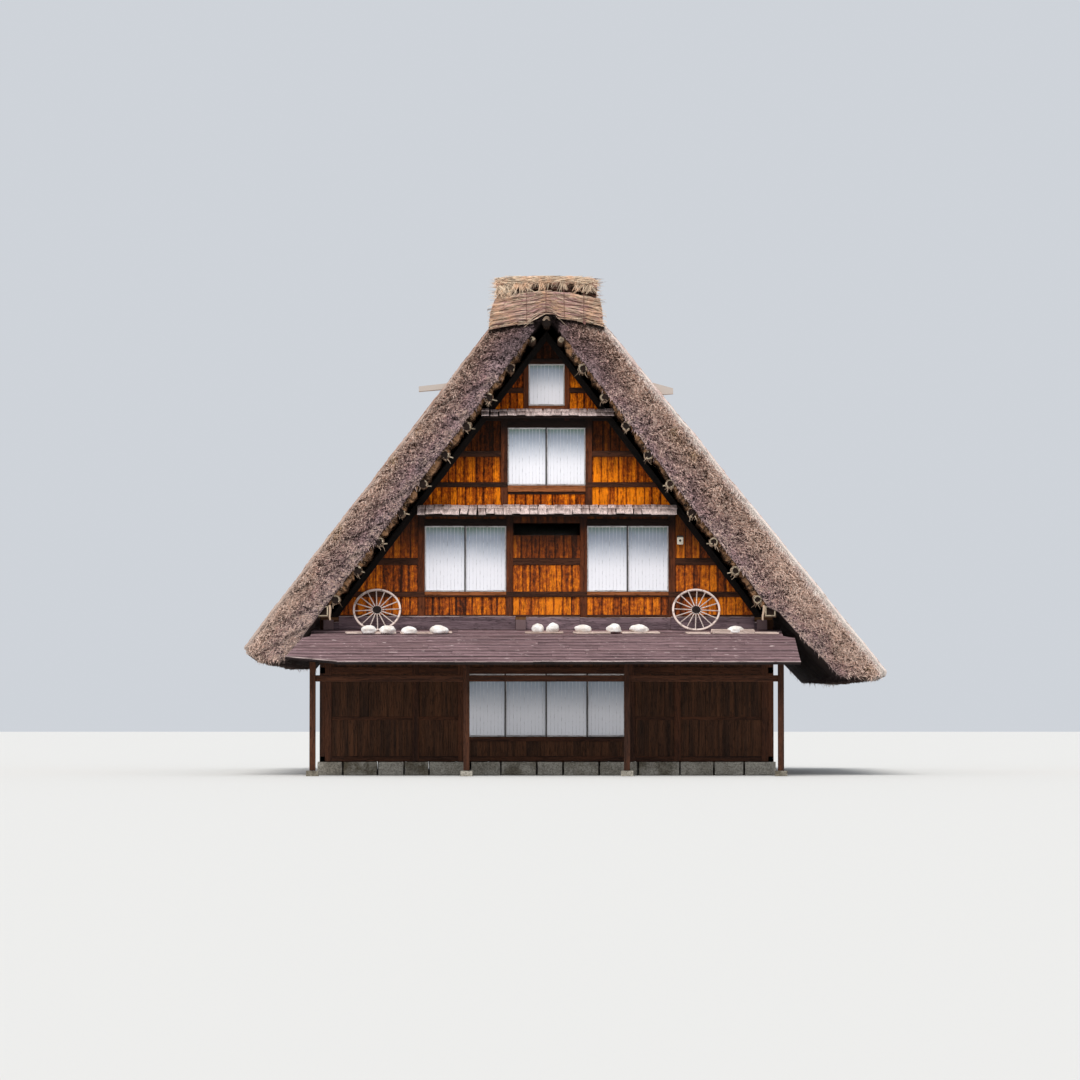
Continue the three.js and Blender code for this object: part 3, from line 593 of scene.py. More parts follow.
def boarded(batch, line, u0, u1, z0, z1, cuts=(), storey=None, warmth=0.5):
    """Upright boards side by side in a bay. Each point of a board knows how far it is across the board,
    how far up the bay, and what share of the storey's height it is at. Warmth is how sunburnt the bay is."""
    foot, top = storey or (z0, z1)
    count = max(1, round((u1 - u0) / BOARD_WIDTH))
    joints = u0 + (u1 - u0) * np.arange(count + 1) / count
    joints[1:-1] += batch.chance.uniform(-0.045, 0.045, count - 1)
    for left, right in zip(joints, joints[1:]):
        outline = trimmed(oblong(left + BOARD_GAP, right - BOARD_GAP, z0, z1), cuts)
        proud = batch.chance.uniform(0.0, 0.010)
        if len(outline) < 3 or area_of(outline) < 0.002:
            continue
        spot = [((u - (left + right) / 2) / ((right - left) / 2), z - z0, (z - foot) / (top - foot))
                for u, z in outline]
        tone = max(0, warmth + batch.chance.uniform(-0.38, 0.38))
        plank(batch, line, outline, BOARD_DEPTH[0] - proud, BOARD_DEPTH[1], tone=tone, spot=spot)
    backing = trimmed(oblong(u0, u1, z0, z1), cuts)
    if len(backing) > 2 and area_of(backing) > 0.002:
        plank(batch, line, backing, BOARD_DEPTH[1] + 0.001, BOARD_DEPTH[1] + 0.008, tone=0.0,
              spot=[(0, 0, 1)] * len(backing))


def ground_wall(posts, boards, side, u0, u1, window=False):
    """One stretch of ground wall: posts a ken apart, rails, and boards between them."""
    line = wall_line(side)
    bays = max(1, round((u1 - u0) / KEN))
    centres = [u0 + POST / 2 + (u1 - u0 - POST) * bay / bays for bay in range(bays + 1)]
    hole = (-WINDOW["half"] - POST, WINDOW["half"] + POST)
    if window:
        centres = [c for c in centres if not hole[0] - POST < c < hole[1] + POST]
        centres = sorted(centres + [hole[0] + POST / 2, hole[1] - POST / 2])
    for centre in centres:
        bar(posts, line, centre - POST / 2, centre + POST / 2, WALL_FOOT, WALL_TOP)
    lintel = WINDOW["high"]
    for z0, z1 in ((WALL_FOOT, WALL_FOOT + SILL), (lintel, lintel + LINTEL), (WALL_TOP - SILL, WALL_TOP)):
        bar(posts, line, u0, u1, z0, z1, near=0.006)
    for left, right in zip(centres, centres[1:]):
        ends = (left + POST / 2, right - POST / 2)
        boarded(boards, line, *ends, lintel + LINTEL, WALL_TOP - SILL)
        if window and abs(left + right) / 2 < WINDOW["half"]:
            bar(posts, line, *ends, WINDOW["low"] - 0.10, WINDOW["low"], near=-0.02)
            boarded(boards, line, *ends, WALL_FOOT + SILL, WINDOW["low"] - 0.10)
        else:
            bar(posts, line, *ends, *MID_RAIL, near=0.022, far=0.06)
            boarded(boards, line, *ends, WALL_FOOT + SILL, MID_RAIL[0])
            boarded(boards, line, *ends, MID_RAIL[1], lintel)


def timber_finish(name, dark, light, dusty, fineness=34.0, roughness=0.82, sheltered=()):
    """Old timber: streaks between two browns, paler dust where it gathers, dark checks along the grain.
    At the shaded heights, painted shade from the roofs above turns it near black."""
    material, tree, shader = finish(name, roughness)
    streaks, fibres, checks = grained(tree, fineness)
    amount = plus(tree, step(tree, streaks, 0.32, 0.68, 0.0, 0.6), times(tree, trait(tree, "tone"), 0.4))
    darkest = tuple(part * 0.3 for part in shade(*dark)[:3]) + (1.0,)
    colour = mix(tree, amount, shade(*dark), shade(*light))
    colour = mix(tree, step(tree, fibres, 0.5, 0.75, 0.0, 0.35), colour, shade(*dusty))
    colour = mix(tree, times(tree, checks, 0.6), colour, darkest)
    # Painted shade: the wood turns near black at the heights just under the roofs.
    for low, high in sheltered:
        z = axes(tree, object_place(tree))[2]
        soot_and_shade = times(tree, step(tree, z, low, high), step(tree, z, high + 0.25, high + 0.27, 0.85, 0.0))
        colour = mix(tree, soot_and_shade, colour, shade(13, 8, 6))
    wear(tree, shader, colour, minus(tree, fibres, checks), 0.006)
    return material


POST_WOOD = timber_finish("post_wood", (42, 22, 14), (90, 52, 32), (120, 82, 60))
WALL_BOARDS = timber_finish("wall_boards", (34, 20, 13), (92, 56, 34), (112, 80, 58), 30.0)
posts = Batch(21)
boards = Batch(22)
inner_half = WALL_OUT - WALL_THICK
for side in (FRONT, BACK):
    ground_wall(posts, boards, side, -inner_half, inner_half, window=True)
ground_wall(posts, boards, LEFT, -HALF_LENGTH, HALF_LENGTH, window=True)
DOOR = {"near": -2.91, "far": -1.09, "high": 2.25}
ground_wall(posts, boards, RIGHT, -HALF_LENGTH, DOOR["near"])
ground_wall(posts, boards, RIGHT, DOOR["far"], HALF_LENGTH)
line = wall_line(RIGHT)
bar(posts, line, DOOR["near"], DOOR["far"], DOOR["high"], DOOR["high"] + 0.2)
bar(posts, line, DOOR["near"], DOOR["far"], WALL_TOP - SILL, WALL_TOP)
boarded(boards, line, DOOR["near"], DOOR["far"], DOOR["high"] + 0.2, WALL_TOP - SILL)
GROUND_WALLS = ["front_ground_wall", "back_ground_wall", "left_ground_wall", "right_wall_front",
                "right_wall_back", "right_wall_over_door"]
posts.made("ground_wall_posts", POST_WOOD, "old_wood", GROUND_WALLS, 0.008)
boards.made("ground_wall_boards", WALL_BOARDS, "old_wood", GROUND_WALLS, 0.003)


# Sliding screens
# Each screen is a thin pale wood frame with fine upright ribs and white paper behind them. A pair runs in
# two tracks, so the inner one is a little further back. At each lap a dark strip stands for the shadow
# there, painted shade.
def chance_vector(tree, reach, seed, offset):
    """A random vector for each instance, between minus reach and reach."""
    reaches = {0: vector_sum(tree, "MULTIPLY", reach, (-1.0, -1.0, -1.0)), 1: reach}
    seeds = {8: plus(tree, seed, float(offset))}
    return add(tree, "FunctionNodeRandomValue", {**reaches, **seeds}, data_type="FLOAT_VECTOR").outputs[0]


def chance_number(tree, seed, low=0.0, high=1.0):
    """A random number for each instance."""
    return add(tree, "FunctionNodeRandomValue", {2: low, 3: high, 8: seed}, data_type="FLOAT").outputs[1]


def keep_value(tree, geometry, name, value, domain="POINT", kind="FLOAT"):
    """Stores a value on a geometry under the name that the materials read."""
    stored = {"Geometry": geometry, "Name": name, "Value": value}
    return add(tree, "GeometryNodeStoreNamedAttribute", stored, data_type=kind, domain=domain).outputs[0]


def kept_value(tree, name, kind="FLOAT"):
    return add(tree, "GeometryNodeInputNamedAttribute", {"Name": name}, data_type=kind).outputs[0]


def position(tree):
    return add(tree, "GeometryNodeInputPosition").outputs[0]


def copied(tree, points, shape, tone, **placing):
    """Real copies of a shape on points, each with a tone of its own."""
    placing = {name.capitalize(): value for name, value in placing.items()}
    copies = add(tree, "GeometryNodeInstanceOnPoints", {"Points": points, "Instance": shape, **placing})
    toned = keep_value(tree, copies.outputs[0], "tone", tone, domain="INSTANCE")
    return add(tree, "GeometryNodeRealizeInstances", {"Geometry": toned}).outputs[0]


def ended(tree, geometry, start, end):
    """The last steps of a tree: the material that it was given, then the way out."""
    coated = add(tree, "GeometryNodeSetMaterial", {"Geometry": geometry, "Material": start["Material"]})
    tree.links.new(coated.outputs[0], end["Geometry"])


GEOMETRY = ("Geometry", "Geometry")
MATERIAL = ("Material", "Material")
SLATS, start, end = group("slat_row", [
    GEOMETRY, MATERIAL, ("Count", "Int"), ("First", "Vector"), ("Step", "Vector"), ("Size", "Vector"),
    ("Turn", "Vector"), ("Loose size", "Vector"), ("Loose turn", "Vector"), ("Loose place", "Vector"),
    ("Seed", "Int", 1)], [GEOMETRY], "Geometry")
row = add(SLATS, "GeometryNodeMeshLine", {"Count": start["Count"], "Start Location": start["First"],
                                          "Offset": start["Step"]})
shift = chance_vector(SLATS, start["Loose place"], start["Seed"], 1)
loose = add(SLATS, "GeometryNodeSetPosition", {"Geometry": row.outputs[0], "Offset": shift}).outputs[0]
slat = add(SLATS, "GeometryNodeMeshCube", {"Size": (1.0, 1.0, 1.0)}).outputs[0]
slat = keep_value(SLATS, slat, "spot", position(SLATS), kind="FLOAT_VECTOR")
turn = vector_sum(SLATS, "ADD", start["Turn"], chance_vector(SLATS, start["Loose turn"], start["Seed"], 2))
size = vector_sum(SLATS, "ADD", start["Size"], chance_vector(SLATS, start["Loose size"], start["Seed"], 3))
real = copied(SLATS, loose, slat, chance_number(SLATS, start["Seed"]), rotation=turn, scale=size)
metres = vector_sum(SLATS, "MULTIPLY", kept_value(SLATS, "spot", "FLOAT_VECTOR"), start["Size"])
x, y, z = axes(SLATS, metres)
grain = joined(SLATS, plus(SLATS, x, z), y, kept_value(SLATS, "tone"))
ended(SLATS, keep_value(SLATS, real, "grain", grain, kind="FLOAT_VECTOR"), start, end)


def grown(tree, carrier=None, **inputs):
    """Runs a Geometry Nodes tree on a carrier mesh and gives back its result as a plain mesh."""
    carrier = carrier or bpy.data.meshes.new("empty")
    keys = {item.name.replace(" ", "_").lower(): item.identifier for item in tree.interface.items_tree
            if item.in_out == "INPUT"}
    holder = bpy.data.objects.new("holder", carrier)
    bpy.context.scene.collection.objects.link(holder)
    modifier = holder.modifiers.new("tree", "NODES")
    modifier.node_group = tree
    for name, value in inputs.items():
        modifier[keys[name]] = value
    graph = bpy.context.evaluated_depsgraph_get()
    mesh = bpy.data.meshes.new_from_object(holder.evaluated_get(graph), preserve_all_data_layers=True,
                                           depsgraph=graph)
    holder.modifiers.clear()
    bpy.data.objects.remove(holder)
    return mesh


def merged(name, meshes):
    """Several meshes made one, with their materials."""
    if len(meshes) == 1:
        return meshes[0]
    holders = []
    for mesh in meshes:
        holder = bpy.data.objects.new("holder", mesh)
        bpy.context.scene.collection.objects.link(holder)
        holders.append(holder)
    with bpy.context.temp_override(active_object=holders[0], object=holders[0],
                                   selected_editable_objects=holders, selected_objects=holders):
        bpy.ops.object.join()
    mesh = holders[0].data
    bpy.data.objects.remove(holders[0])
    mesh.name = name
    return mesh


PAPER, tree, shader = finish("screen_paper", 0.75)
place = object_place(tree)
up = axes(tree, trait(tree, "spot", "Vector"))[1]
height = plus(tree, up, times(tree, noise(tree, place, 1.3, 3), 0.12))
# Painted shade: the paper turns blue-grey towards its top and green-grey right at the top, under the roofs.
colour = mix(tree, step(tree, height, 0.36, 0.98), shade(248, 248, 254), shade(166, 178, 194))
colour = mix(tree, step(tree, height, 0.90, 1.06), colour, shade(118, 140, 126))
fibrous = step(tree, noise(tree, place, 160, 2), 0.45, 0.75, 0.0, 0.10)
colour = mix(tree, fibrous, colour, shade(190, 188, 180))
wear(tree, shader, colour, noise(tree, place, 60, 2), 0.002)
SCREEN_WOOD = timber_finish("screen_wood", (196, 192, 190), (236, 234, 234), (244, 242, 240), 60.0,
                            0.7)
LAP_SHADOW_WOOD = timber_finish("lap_wood", (58, 54, 54), (96, 92, 92), (120, 116, 116), 60.0, 0.7)
RIB_WOOD = timber_finish("rib_wood", (222, 222, 226), (244, 244, 248), (248, 247, 250), 60.0, 0.7)
RIB_PITCH = 0.078
SCREEN_TRACK = 0.035
SCREEN_THICK = 0.030


def screen_set(node, side, centre, window, count, seed):
    """Screens that fill an opening, in two tracks, each lapping the next."""
    line = wall_line(side)
    along = np.subtract(line(1, 0, 0), line(0, 0, 0))
    turn = (math.pi / 2, 0, math.atan2(along[1], along[0]))
    u0, u1 = centre - window["half"], centre + window["half"]
    low, high = window["low"] + 0.002, window["high"] - 0.002
    middle = (low + high) / 2
    wood = Batch(seed)
    paper = Batch(seed)
    gaps = Batch(seed)
    ribs = []
    width = (u1 - u0) / count
    lap = 0.020
    stile = 0.030
    for panel in range(count):
        left = u0 + panel * width - (lap if panel else 0)
        right = u0 + (panel + 1) * width + (lap if panel < count - 1 else 0)
        near = SCREEN_TRACK + (panel % 2) * SCREEN_THICK
        far = near + SCREEN_THICK - 0.001
        for a, b, c, d in ((left, left + stile, low, high), (right - stile, right, low, high),
                           (left + stile, right - stile, low, low + 0.035),
                           (left + stile, right - stile, high - 0.030, high)):
            bar(wood, line, a, b, c, d, near, far)
        corners = oblong(left + stile, right - stile, low, high)
        plank(paper, line, corners, near + 0.012, far - 0.008, tone=panel % 2,
              spot=[(u, (z - low) / (high - low), 0) for u, z in corners])
        bays = round((right - left - 2 * stile) / RIB_PITCH)
        pitch = (right - left - 2 * stile) / bays
        if panel:
            # A dark strip at the lap: painted shadow.
            bar(gaps, line, left - 0.006, left + 0.026, low, high, SCREEN_TRACK - 0.008, SCREEN_TRACK - 0.001)
        ribs.append(grown(SLATS, count=bays - 1, first=line(left + stile + pitch, near + 0.010, middle),
                          step=tuple(along * pitch), size=(0.006, high - low - 0.04, 0.004), turn=turn,
                          material=RIB_WOOD))
    wood.made(node + "_frames", SCREEN_WOOD, "screen", [node], 0.002)
    paper.made(node + "_paper", PAPER, "screen", [node])
    if count > 1:
        gaps.made(node + "_lap_strips", LAP_SHADOW_WOOD, "screen", [node])
    settle(node + "_ribs", merged(node + "_ribs", ribs), None, [node])


for side, seed in ((FRONT, 31), (BACK, 32), (LEFT, 33)):
    screen_set(side + "_ground_screens", side, 0, WINDOW, 4, seed)


# Entrance doors
# Two sliding leaves, pushed together at the far side of the doorway. Each is a dark frame with boards
# below the middle rail and close upright slats above it.
leaves = Batch(36)
slats = []
line = wall_line(RIGHT)
leaf = (DOOR["far"] - DOOR["near"]) / 2 + 0.04
LEAF_THICK = 0.034
STILE = 0.06
DOOR_RAILS = {"low": 0.12, "middle": 0.09, "high": 0.08}
DOOR_BOARDS, DOOR_SLATS = 6, 21
low, high = WALL_FOOT + 0.001, DOOR["high"] - 0.001
middle = 1.15
clear = leaf - 2 * STILE
for shift, near in ((0.0, 0.030), (0.04, 0.065)):
    right = DOOR["far"] - shift - 0.001
    left = right - leaf
    far = near + LEAF_THICK
    bar(leaves, line, left, left + STILE, low, high, near, far)
    bar(leaves, line, right - STILE, right, low, high, near, far)
    for z0, z1 in ((low, low + DOOR_RAILS["low"]), (middle, middle + DOOR_RAILS["middle"]),
                   (high - DOOR_RAILS["high"], high)):
        bar(leaves, line, left + STILE, right - STILE, z0, z1, near, far)
    for board in range(DOOR_BOARDS):
        u0 = left + STILE + board * clear / DOOR_BOARDS
        u1 = u0 + clear / DOOR_BOARDS
        bar(leaves, line, u0 + 0.001, u1 - 0.001, low + DOOR_RAILS["low"], middle, near + 0.012, far - 0.006)
    pitch = clear / (DOOR_SLATS + 1)
    halfway = (middle + DOOR_RAILS["middle"] + high - DOOR_RAILS["high"]) / 2
    slats.append(grown(SLATS, count=DOOR_SLATS, first=line(left + STILE + pitch, near + 0.017, halfway),
                       step=(0, pitch, 0), size=(0.018, high - middle - 0.16, 0.016),
                       turn=(math.pi / 2, 0, math.pi / 2), material=POST_WOOD))
leaves.made("entrance_door_leaves", POST_WOOD, "old_wood", ["entrance_doors"], 0.003)
settle("entrance_door_slats", merged("entrance_door_slats", slats), None, ["entrance_doors"])


# Attic beams
# The ring and cross beams that the attic floor lies on keep their solids. Three long beams run through
# the house, and their squared ends show above the lean-to roofs.
BEAM_WOOD, tree, shader = finish("beam_wood", 0.85)
place = object_place(tree)
streaks, fibres, checks = grained(tree, 26.0, place=stretched(tree, place, (0.35, 1.0, 3.0)))
colour = mix(tree, streaks, shade(44, 27, 18), shade(104, 68, 46))
colour = mix(tree, times(tree, checks, 0.7), colour, shade(20, 12, 8))
outside = step(tree, sums(tree, "ABSOLUTE", axes(tree, place)[1]), 6.38, 6.42)
colour = mix(tree, times(tree, outside, 0.85), colour, shade(120, 100, 102))
wear(tree, shader, colour, fibres, 0.006)
coat("attic_beams", BEAM_WOOD)


# Gable walls
# Each gable is framed storey by storey: reddish posts and rails, a sloping board along the rafters, and
# upright boards let in between. Sun has turned the low boards orange, and painted shade darkens those
# under the eaves.
PITCH = math.radians(53)
SLOPE = math.tan(PITCH)
GABLE_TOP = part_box("front_gable_wall")[1].z
GABLE_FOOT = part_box("front_gable_wall")[0].z
BARGE_DROP = 0.2326
LOWER_WINDOW = {"centre": 1.805, "half": 0.905, "low": 4.075, "high": 5.540}
MIDDLE_WINDOW = {"half": 0.865, "low": 6.440, "high": 7.730}
TOP_WINDOW = {"half": 0.400, "low": 8.220, "high": 9.150}
GABLE_WINDOWS = {
    "left_screens": (-LOWER_WINDOW["centre"], LOWER_WINDOW, 2),
    "right_screens": (LOWER_WINDOW["centre"], LOWER_WINDOW, 2),
    "middle_screens": (0, MIDDLE_WINDOW, 2),
    "top_screen": (0, TOP_WINDOW, 1),
}
VENT = {"half": 0.735, "low": 5.330, "high": 5.600}
# The level rails, and the bands of boards between them
RAILS = [(GABLE_FOOT, 3.560), (3.955, 4.075), (4.667, 4.822), (5.790, 6.000), (6.400, 6.510), (7.080, 7.210),
         (7.880, 8.070), (8.500, 8.620), (9.150, 9.270)]
BANDS = [(low[1], high[0]) for low, high in zip(RAILS, RAILS[1:])]
SILL_RAILS = (1, 4)
HEAD_BAR = 5.690
MIDDLE_SILL = (6.240, 6.300)
TOP_SILL = 8.130
LOWER_POST_TOP, MIDDLE_POST_TOP = 5.940, 8.030
OUTER_POST = LOWER_WINDOW["centre"] + LOWER_WINDOW["half"]
INNER_POST = LOWER_WINDOW["centre"] - LOWER_WINDOW["half"]
TOP_POST = 0.11
LOWER_STOREY, MIDDLE_STOREY, TOP_STOREY = (3.560, 6.100), (6.000, 7.700), (8.070, 9.500)

# Each board is burnt orange where the sun reaches it and dark between its runs. Painted shade turns it
# black up under the eaves.
FLAME_BOARDS, tree, shader = finish("flame_boards", 0.8, specular=0.12)
streaks, fibres, checks = grained(tree, 42.0, 0.035)
fine = minus(tree, grained(tree, 110.0, 0.05)["Fibres"], 0.5)
across, _, share = axes(tree, trait(tree, "spot", "Vector"))
place = object_place(tree)
runs = minus(tree, streaks, 0.5)
blots = minus(tree, noise(tree, stretched(tree, place, (13.0, 3.0, 8.0)), 1.0, 5, 0.70), 0.5)
foot_glow = step(tree, share, 0.0, 0.55, 0.22, 0.0)
edge = step(tree, sums(tree, "ABSOLUTE", across), 0.62, 1.0, 0.0, 0.42)
heat = plus(tree, times(tree, trait(tree, "tone"), 0.60), times(tree, runs, 1.7), times(tree, blots, 2.2),
            foot_glow)
heat = plus(tree, minus(tree, heat, edge), times(tree, fine, 1.6))
colour = mix(tree, step(tree, heat, -0.15, 0.42), shade(48, 17, 5), shade(166, 74, 10))
colour = layered(tree, colour, [
    (step(tree, heat, 0.36, 0.92), (255, 140, 14)),
    (step(tree, heat, 1.25, 1.9), (255, 186, 80))])
# Painted shade: the boards turn near black towards the top of each storey, under the eaves.
shadow = plus(tree, share, times(tree, blots, 0.25))
colour = layered(tree, colour, [
    (step(tree, shadow, 0.38, 0.80, 0.0, 0.86), (26, 14, 7)),
    (times(tree, checks, 0.75), (30, 11, 4))])
low_down = step(tree, axes(tree, place)[2], 5.6, 6.0, 0.08, 0.0)
colour = mix(tree, low_down, colour, shade(150, 108, 90))
wear(tree, shader, colour, minus(tree, fibres, checks), 0.005)
# Heights just under the small roofs and the apex, where gable posts and rails get painted shade
ROOF_SHADE_HEIGHTS = ((5.25, 5.60), (7.45, 7.80), (9.00, 9.30))
GABLE_POSTS = timber_finish("gable_posts", (46, 20, 9), (118, 60, 28), (132, 82, 54), 36.0,
                            sheltered=ROOF_SHADE_HEIGHTS)
GABLE_RAILS = timber_finish("gable_rails", (24, 12, 7), (78, 42, 24), (112, 74, 52), 30.0,
                            sheltered=ROOF_SHADE_HEIGHTS)
SILL_WOOD = timber_finish("sill_wood", (88, 44, 24), (168, 100, 54), (190, 136, 98), 30.0)
# The sloping boards are dark wood made near black, partly painted shade under the verge.
SHADED_BARGE_WOOD = timber_finish("barge_wood", (6, 4, 3), (20, 12, 8), (34, 22, 16), 30.0)


def gable_wall(side, seed):
    """One gable: the boards along its slopes, posts, rails, sills, and upright boards in every bay."""
    line = wall_line(side)
    uprights = Batch(seed)
    rails = Batch(seed + 1)
    boards = Batch(seed + 2)
    sills = Batch(seed + 7)
    barge = Batch(seed + 8)
    highest = GABLE_TOP - 0.004 - BARGE_DROP + 0.03
    under_barge = [(SLOPE, 1, highest), (-SLOPE, 1, highest)]
    foot = (GABLE_TOP - GABLE_FOOT) / SLOPE
    for way in (-1, 1):
        slope = [(0, GABLE_TOP - 0.004), (0, GABLE_TOP - BARGE_DROP),
                 (way * (foot - BARGE_DROP / SLOPE), GABLE_FOOT), (way * foot, GABLE_FOOT)]
        face = np.array([line(u, 0.004, z) for u, z in slope])
        back = np.subtract(line(0, WALL_THICK, 0), line(0, 0.004, 0))
        barge.member(face, back, face[3] - face[0])
        for centre, z0, z1, width in (
                (OUTER_POST + POST / 2, GABLE_FOOT, LOWER_POST_TOP, POST),
                (INNER_POST - POST / 2, GABLE_FOOT, LOWER_POST_TOP, POST),
                (MIDDLE_WINDOW["half"] + POST / 2, RAILS[3][0], MIDDLE_POST_TOP, POST),
                (TOP_WINDOW["half"] + TOP_POST / 2, RAILS[6][0], RAILS[-1][1], TOP_POST)):
            bar(uprights, line, way * centre - width / 2, way * centre + width / 2, z0, z1, cuts=under_barge)
        left = way * LOWER_WINDOW["centre"] - LOWER_WINDOW["half"]
        right = left + 2 * LOWER_WINDOW["half"]
        bar(rails, line, left, right, LOWER_WINDOW["high"], HEAD_BAR, near=0.004)
        bar(sills, line, left, right, LOWER_WINDOW["low"] - 0.085, LOWER_WINDOW["low"] - 0.004, near=-0.026)
        boarded(boards, line, left, right, HEAD_BAR, BANDS[2][1], storey=LOWER_STOREY)
        boarded(boards, line, left, right, *BANDS[0], storey=LOWER_STOREY, warmth=0.24 if way < 0 else 0.60)
        for inner, outer, storey, bands, warmths in (
                (OUTER_POST + POST, 5.0, LOWER_STOREY, BANDS[:3], (0.46, 0.54, 0.62)),
                (MIDDLE_WINDOW["half"] + POST, 4.0, MIDDLE_STOREY, BANDS[3:6], (0.90, 0.86, 0.50)),
                (TOP_WINDOW["half"] + TOP_POST, 3.0, TOP_STOREY, BANDS[6:], (0.55, 0.5))):
            for (z0, z1), warmth in zip(bands, warmths):
                outer_now = min(outer, (GABLE_TOP - BARGE_DROP - z0) / SLOPE)
                if outer_now > inner + 0.03:
                    reach = sorted((way * inner, way * outer_now))
                    boarded(boards, line, *reach, z0, z1, under_barge, storey, warmth + 0.10 * way)
    for number, (z0, z1) in enumerate(RAILS):
        near = -0.012 if number in SILL_RAILS else 0.006
        gaps = [(centre - window["half"], centre + window["half"])
                for centre, window, count in GABLE_WINDOWS.values()
                if window["low"] < z1 - 0.01 and window["high"] > z0 + 0.01]
        start = -5.0
        for left, right in gaps + [(5.0, 5.0)]:
            bar(rails, line, start, left, z0, z1, near=near, cuts=under_barge)
            start = right
    middle, top = MIDDLE_WINDOW["half"], TOP_WINDOW["half"]
    bar(rails, line, -middle, middle, MIDDLE_WINDOW["high"], BANDS[5][1], near=0.004)
    bar(rails, line, -middle, middle, *MIDDLE_SILL, near=0.010)
    bar(sills, line, -middle, middle, MIDDLE_SILL[1], MIDDLE_WINDOW["low"] - 0.004, near=-0.022)
    bar(sills, line, -top, top, TOP_SILL, TOP_WINDOW["low"] - 0.004, near=-0.018)
    bay = INNER_POST - POST
    for z0, z1, warmth in ((*BANDS[0], 0.80), (*BANDS[1], 0.76), (BANDS[2][0], VENT["low"], 0.66),
                           (VENT["high"], BANDS[2][1], 0.3)):
        boarded(boards, line, -bay, bay, z0, z1, storey=LOWER_STOREY, warmth=warmth)
    for way in (-1, 1):
        bar(rails, line, *sorted((way * VENT["half"], way * bay)), VENT["low"], VENT["high"], near=0.02)
    boarded(boards, line, -middle, middle, BANDS[3][0], MIDDLE_SILL[0], storey=MIDDLE_STOREY, warmth=0.30)
    boarded(boards, line, -top, top, BANDS[6][0], TOP_SILL, storey=TOP_STOREY)
    boarded(boards, line, -0.5, 0.5, RAILS[-1][1], 9.9, under_barge, TOP_STOREY, warmth=0.0)
    node = [side + "_gable_wall"]
    for batch, name, material in ((uprights, "posts", GABLE_POSTS), (rails, "rails", GABLE_RAILS),
                                  (sills, "sills", SILL_WOOD), (barge, "slope_boards", SHADED_BARGE_WOOD)):
        batch.made(f"{side}_gable_{name}", material, "old_wood", node, 0.007)
    boards.made(side + "_gable_boards", FLAME_BOARDS, "board_wood", node, 0.003)


for side, seed in ((FRONT, 41), (BACK, 51)):
    gable_wall(side, seed)
    for number, (name, (centre, window, count)) in enumerate(GABLE_WINDOWS.items()):
        screen_set(f"{side}_{name}", side, centre, window, count, seed + 3 + number)


# Small shake roofs
# Over each row of gable windows a short roof of split wooden shakes, laid in two overlapping courses, lies
# on a pole held by brackets. Weather has turned the shakes a pinkish grey with brown streaks.
SHAKE, tree, shader = finish("split_shake", 0.9)
streaks, fibres, checks = grained(tree, 46.0, 0.10)
along = axes(tree, trait(tree, "spot", "Vector"))[1]
amount = plus(tree, times(tree, trait(tree, "tone"), 0.60), step(tree, streaks, 0.36, 0.62, 0.0, 0.50),
              step(tree, along, -0.45, 0.0, 0.30, 0.0))
colour = mix(tree, amount, shade(92, 66, 62), shade(250, 228, 222))
colour = layered(tree, colour, [
    (step(tree, fibres, 0.52, 0.66, 0.0, 0.70), (128, 88, 76)),
    (times(tree, checks, 0.8), (70, 48, 42))])
wear(tree, shader, colour, minus(tree, fibres, checks), 0.008)
SHAKE_WIDTH = 0.195


def small_roof(side, name, half, shift, wall_z, eave_z, out, arms, seed):
    """A row of shakes in two courses, from the wall down to the eave, on brackets with a pole."""
    line = wall_line(side)
    node = f"{side}_{name}"
    fall = (wall_z - eave_z) / out
    turn = (math.atan(fall), 0, 0 if side == FRONT else math.pi)
    count = round(2 * half / SHAKE_WIDTH)
    pitch = 2 * half / count
    shakes = []
    for course, (start, end, lift) in enumerate(((out * 0.10, out + 0.004, 0.0), (0.0, out * 0.42, 0.024))):
        length = (end - start) / math.cos(turn[0])
        centre_out = (start + end) / 2
        z = wall_z - fall * centre_out - 0.012 + lift
        first = line(shift - half + pitch / 2, -centre_out, z)
        shakes.append(grown(SLATS, count=count, first=first, step=(pitch, 0, 0),
                            size=(pitch - 0.010, length, 0.022), turn=turn,
                            loose_size=(pitch * 0.16, 0.026, 0.008),
                            loose_turn=(0.05, 0.03, 0.04), loose_place=(0.008, 0.026, 0.005),
                            seed=seed + course, material=SHAKE))
    settle(node + "_shakes", merged(node + "_shakes", shakes), None, [node])
    carried = Batch(seed)
    under = wall_z - 0.040
    reach = out - 0.09
    for x in arms:
        side_view = [(0, under), (reach, under - fall * reach), (reach, under - fall * reach - 0.055),
                     (0, under - 0.11)]
        face = np.array([line(x - 0.035, -o, z) for o, z in side_view])
        carried.member(face, (0.07, 0, 0), face[1] - face[0])
    ends = [line(shift + end * (half - 0.04), -reach, under - fall * reach - 0.03) for end in (-1, 0, 1)]
    carried.tube(ends, 0.032, 10)
    for start in (0.06, 0.26, out - 0.16):
        z = under - fall * start
        low = line(shift - half + 0.02, -start - 0.05, z - 0.012)
        batten = [np.add(low, (0, -facing(side) * v, w)) for v, w in oblong(0, 0.05, 0, 0.02)]
        carried.member(batten, (2 * half - 0.04, 0, 0), (1, 0, 0))
    carried.made(node + "_brackets", GABLE_RAILS, "old_wood", [node], 0.005)


LOWER_ROOF = {"half": 2.885, "shift": 0, "wall_z": 5.985, "eave_z": 5.795, "out": 0.56,
              "arms": (-2.76, -1.65, -0.55, 0.55, 1.65, 2.76)}
UPPER_ROOF = {"half": 1.475, "shift": 0.015, "wall_z": 8.125, "eave_z": 7.990, "out": 0.43,
              "arms": (-0.94, 0.94)}
for side, seed in ((FRONT, 61), (BACK, 71)):
    small_roof(side, "lower_small_roof", seed=seed, **LOWER_ROOF)
    small_roof(side, "upper_small_roof", seed=seed + 5, **UPPER_ROOF)


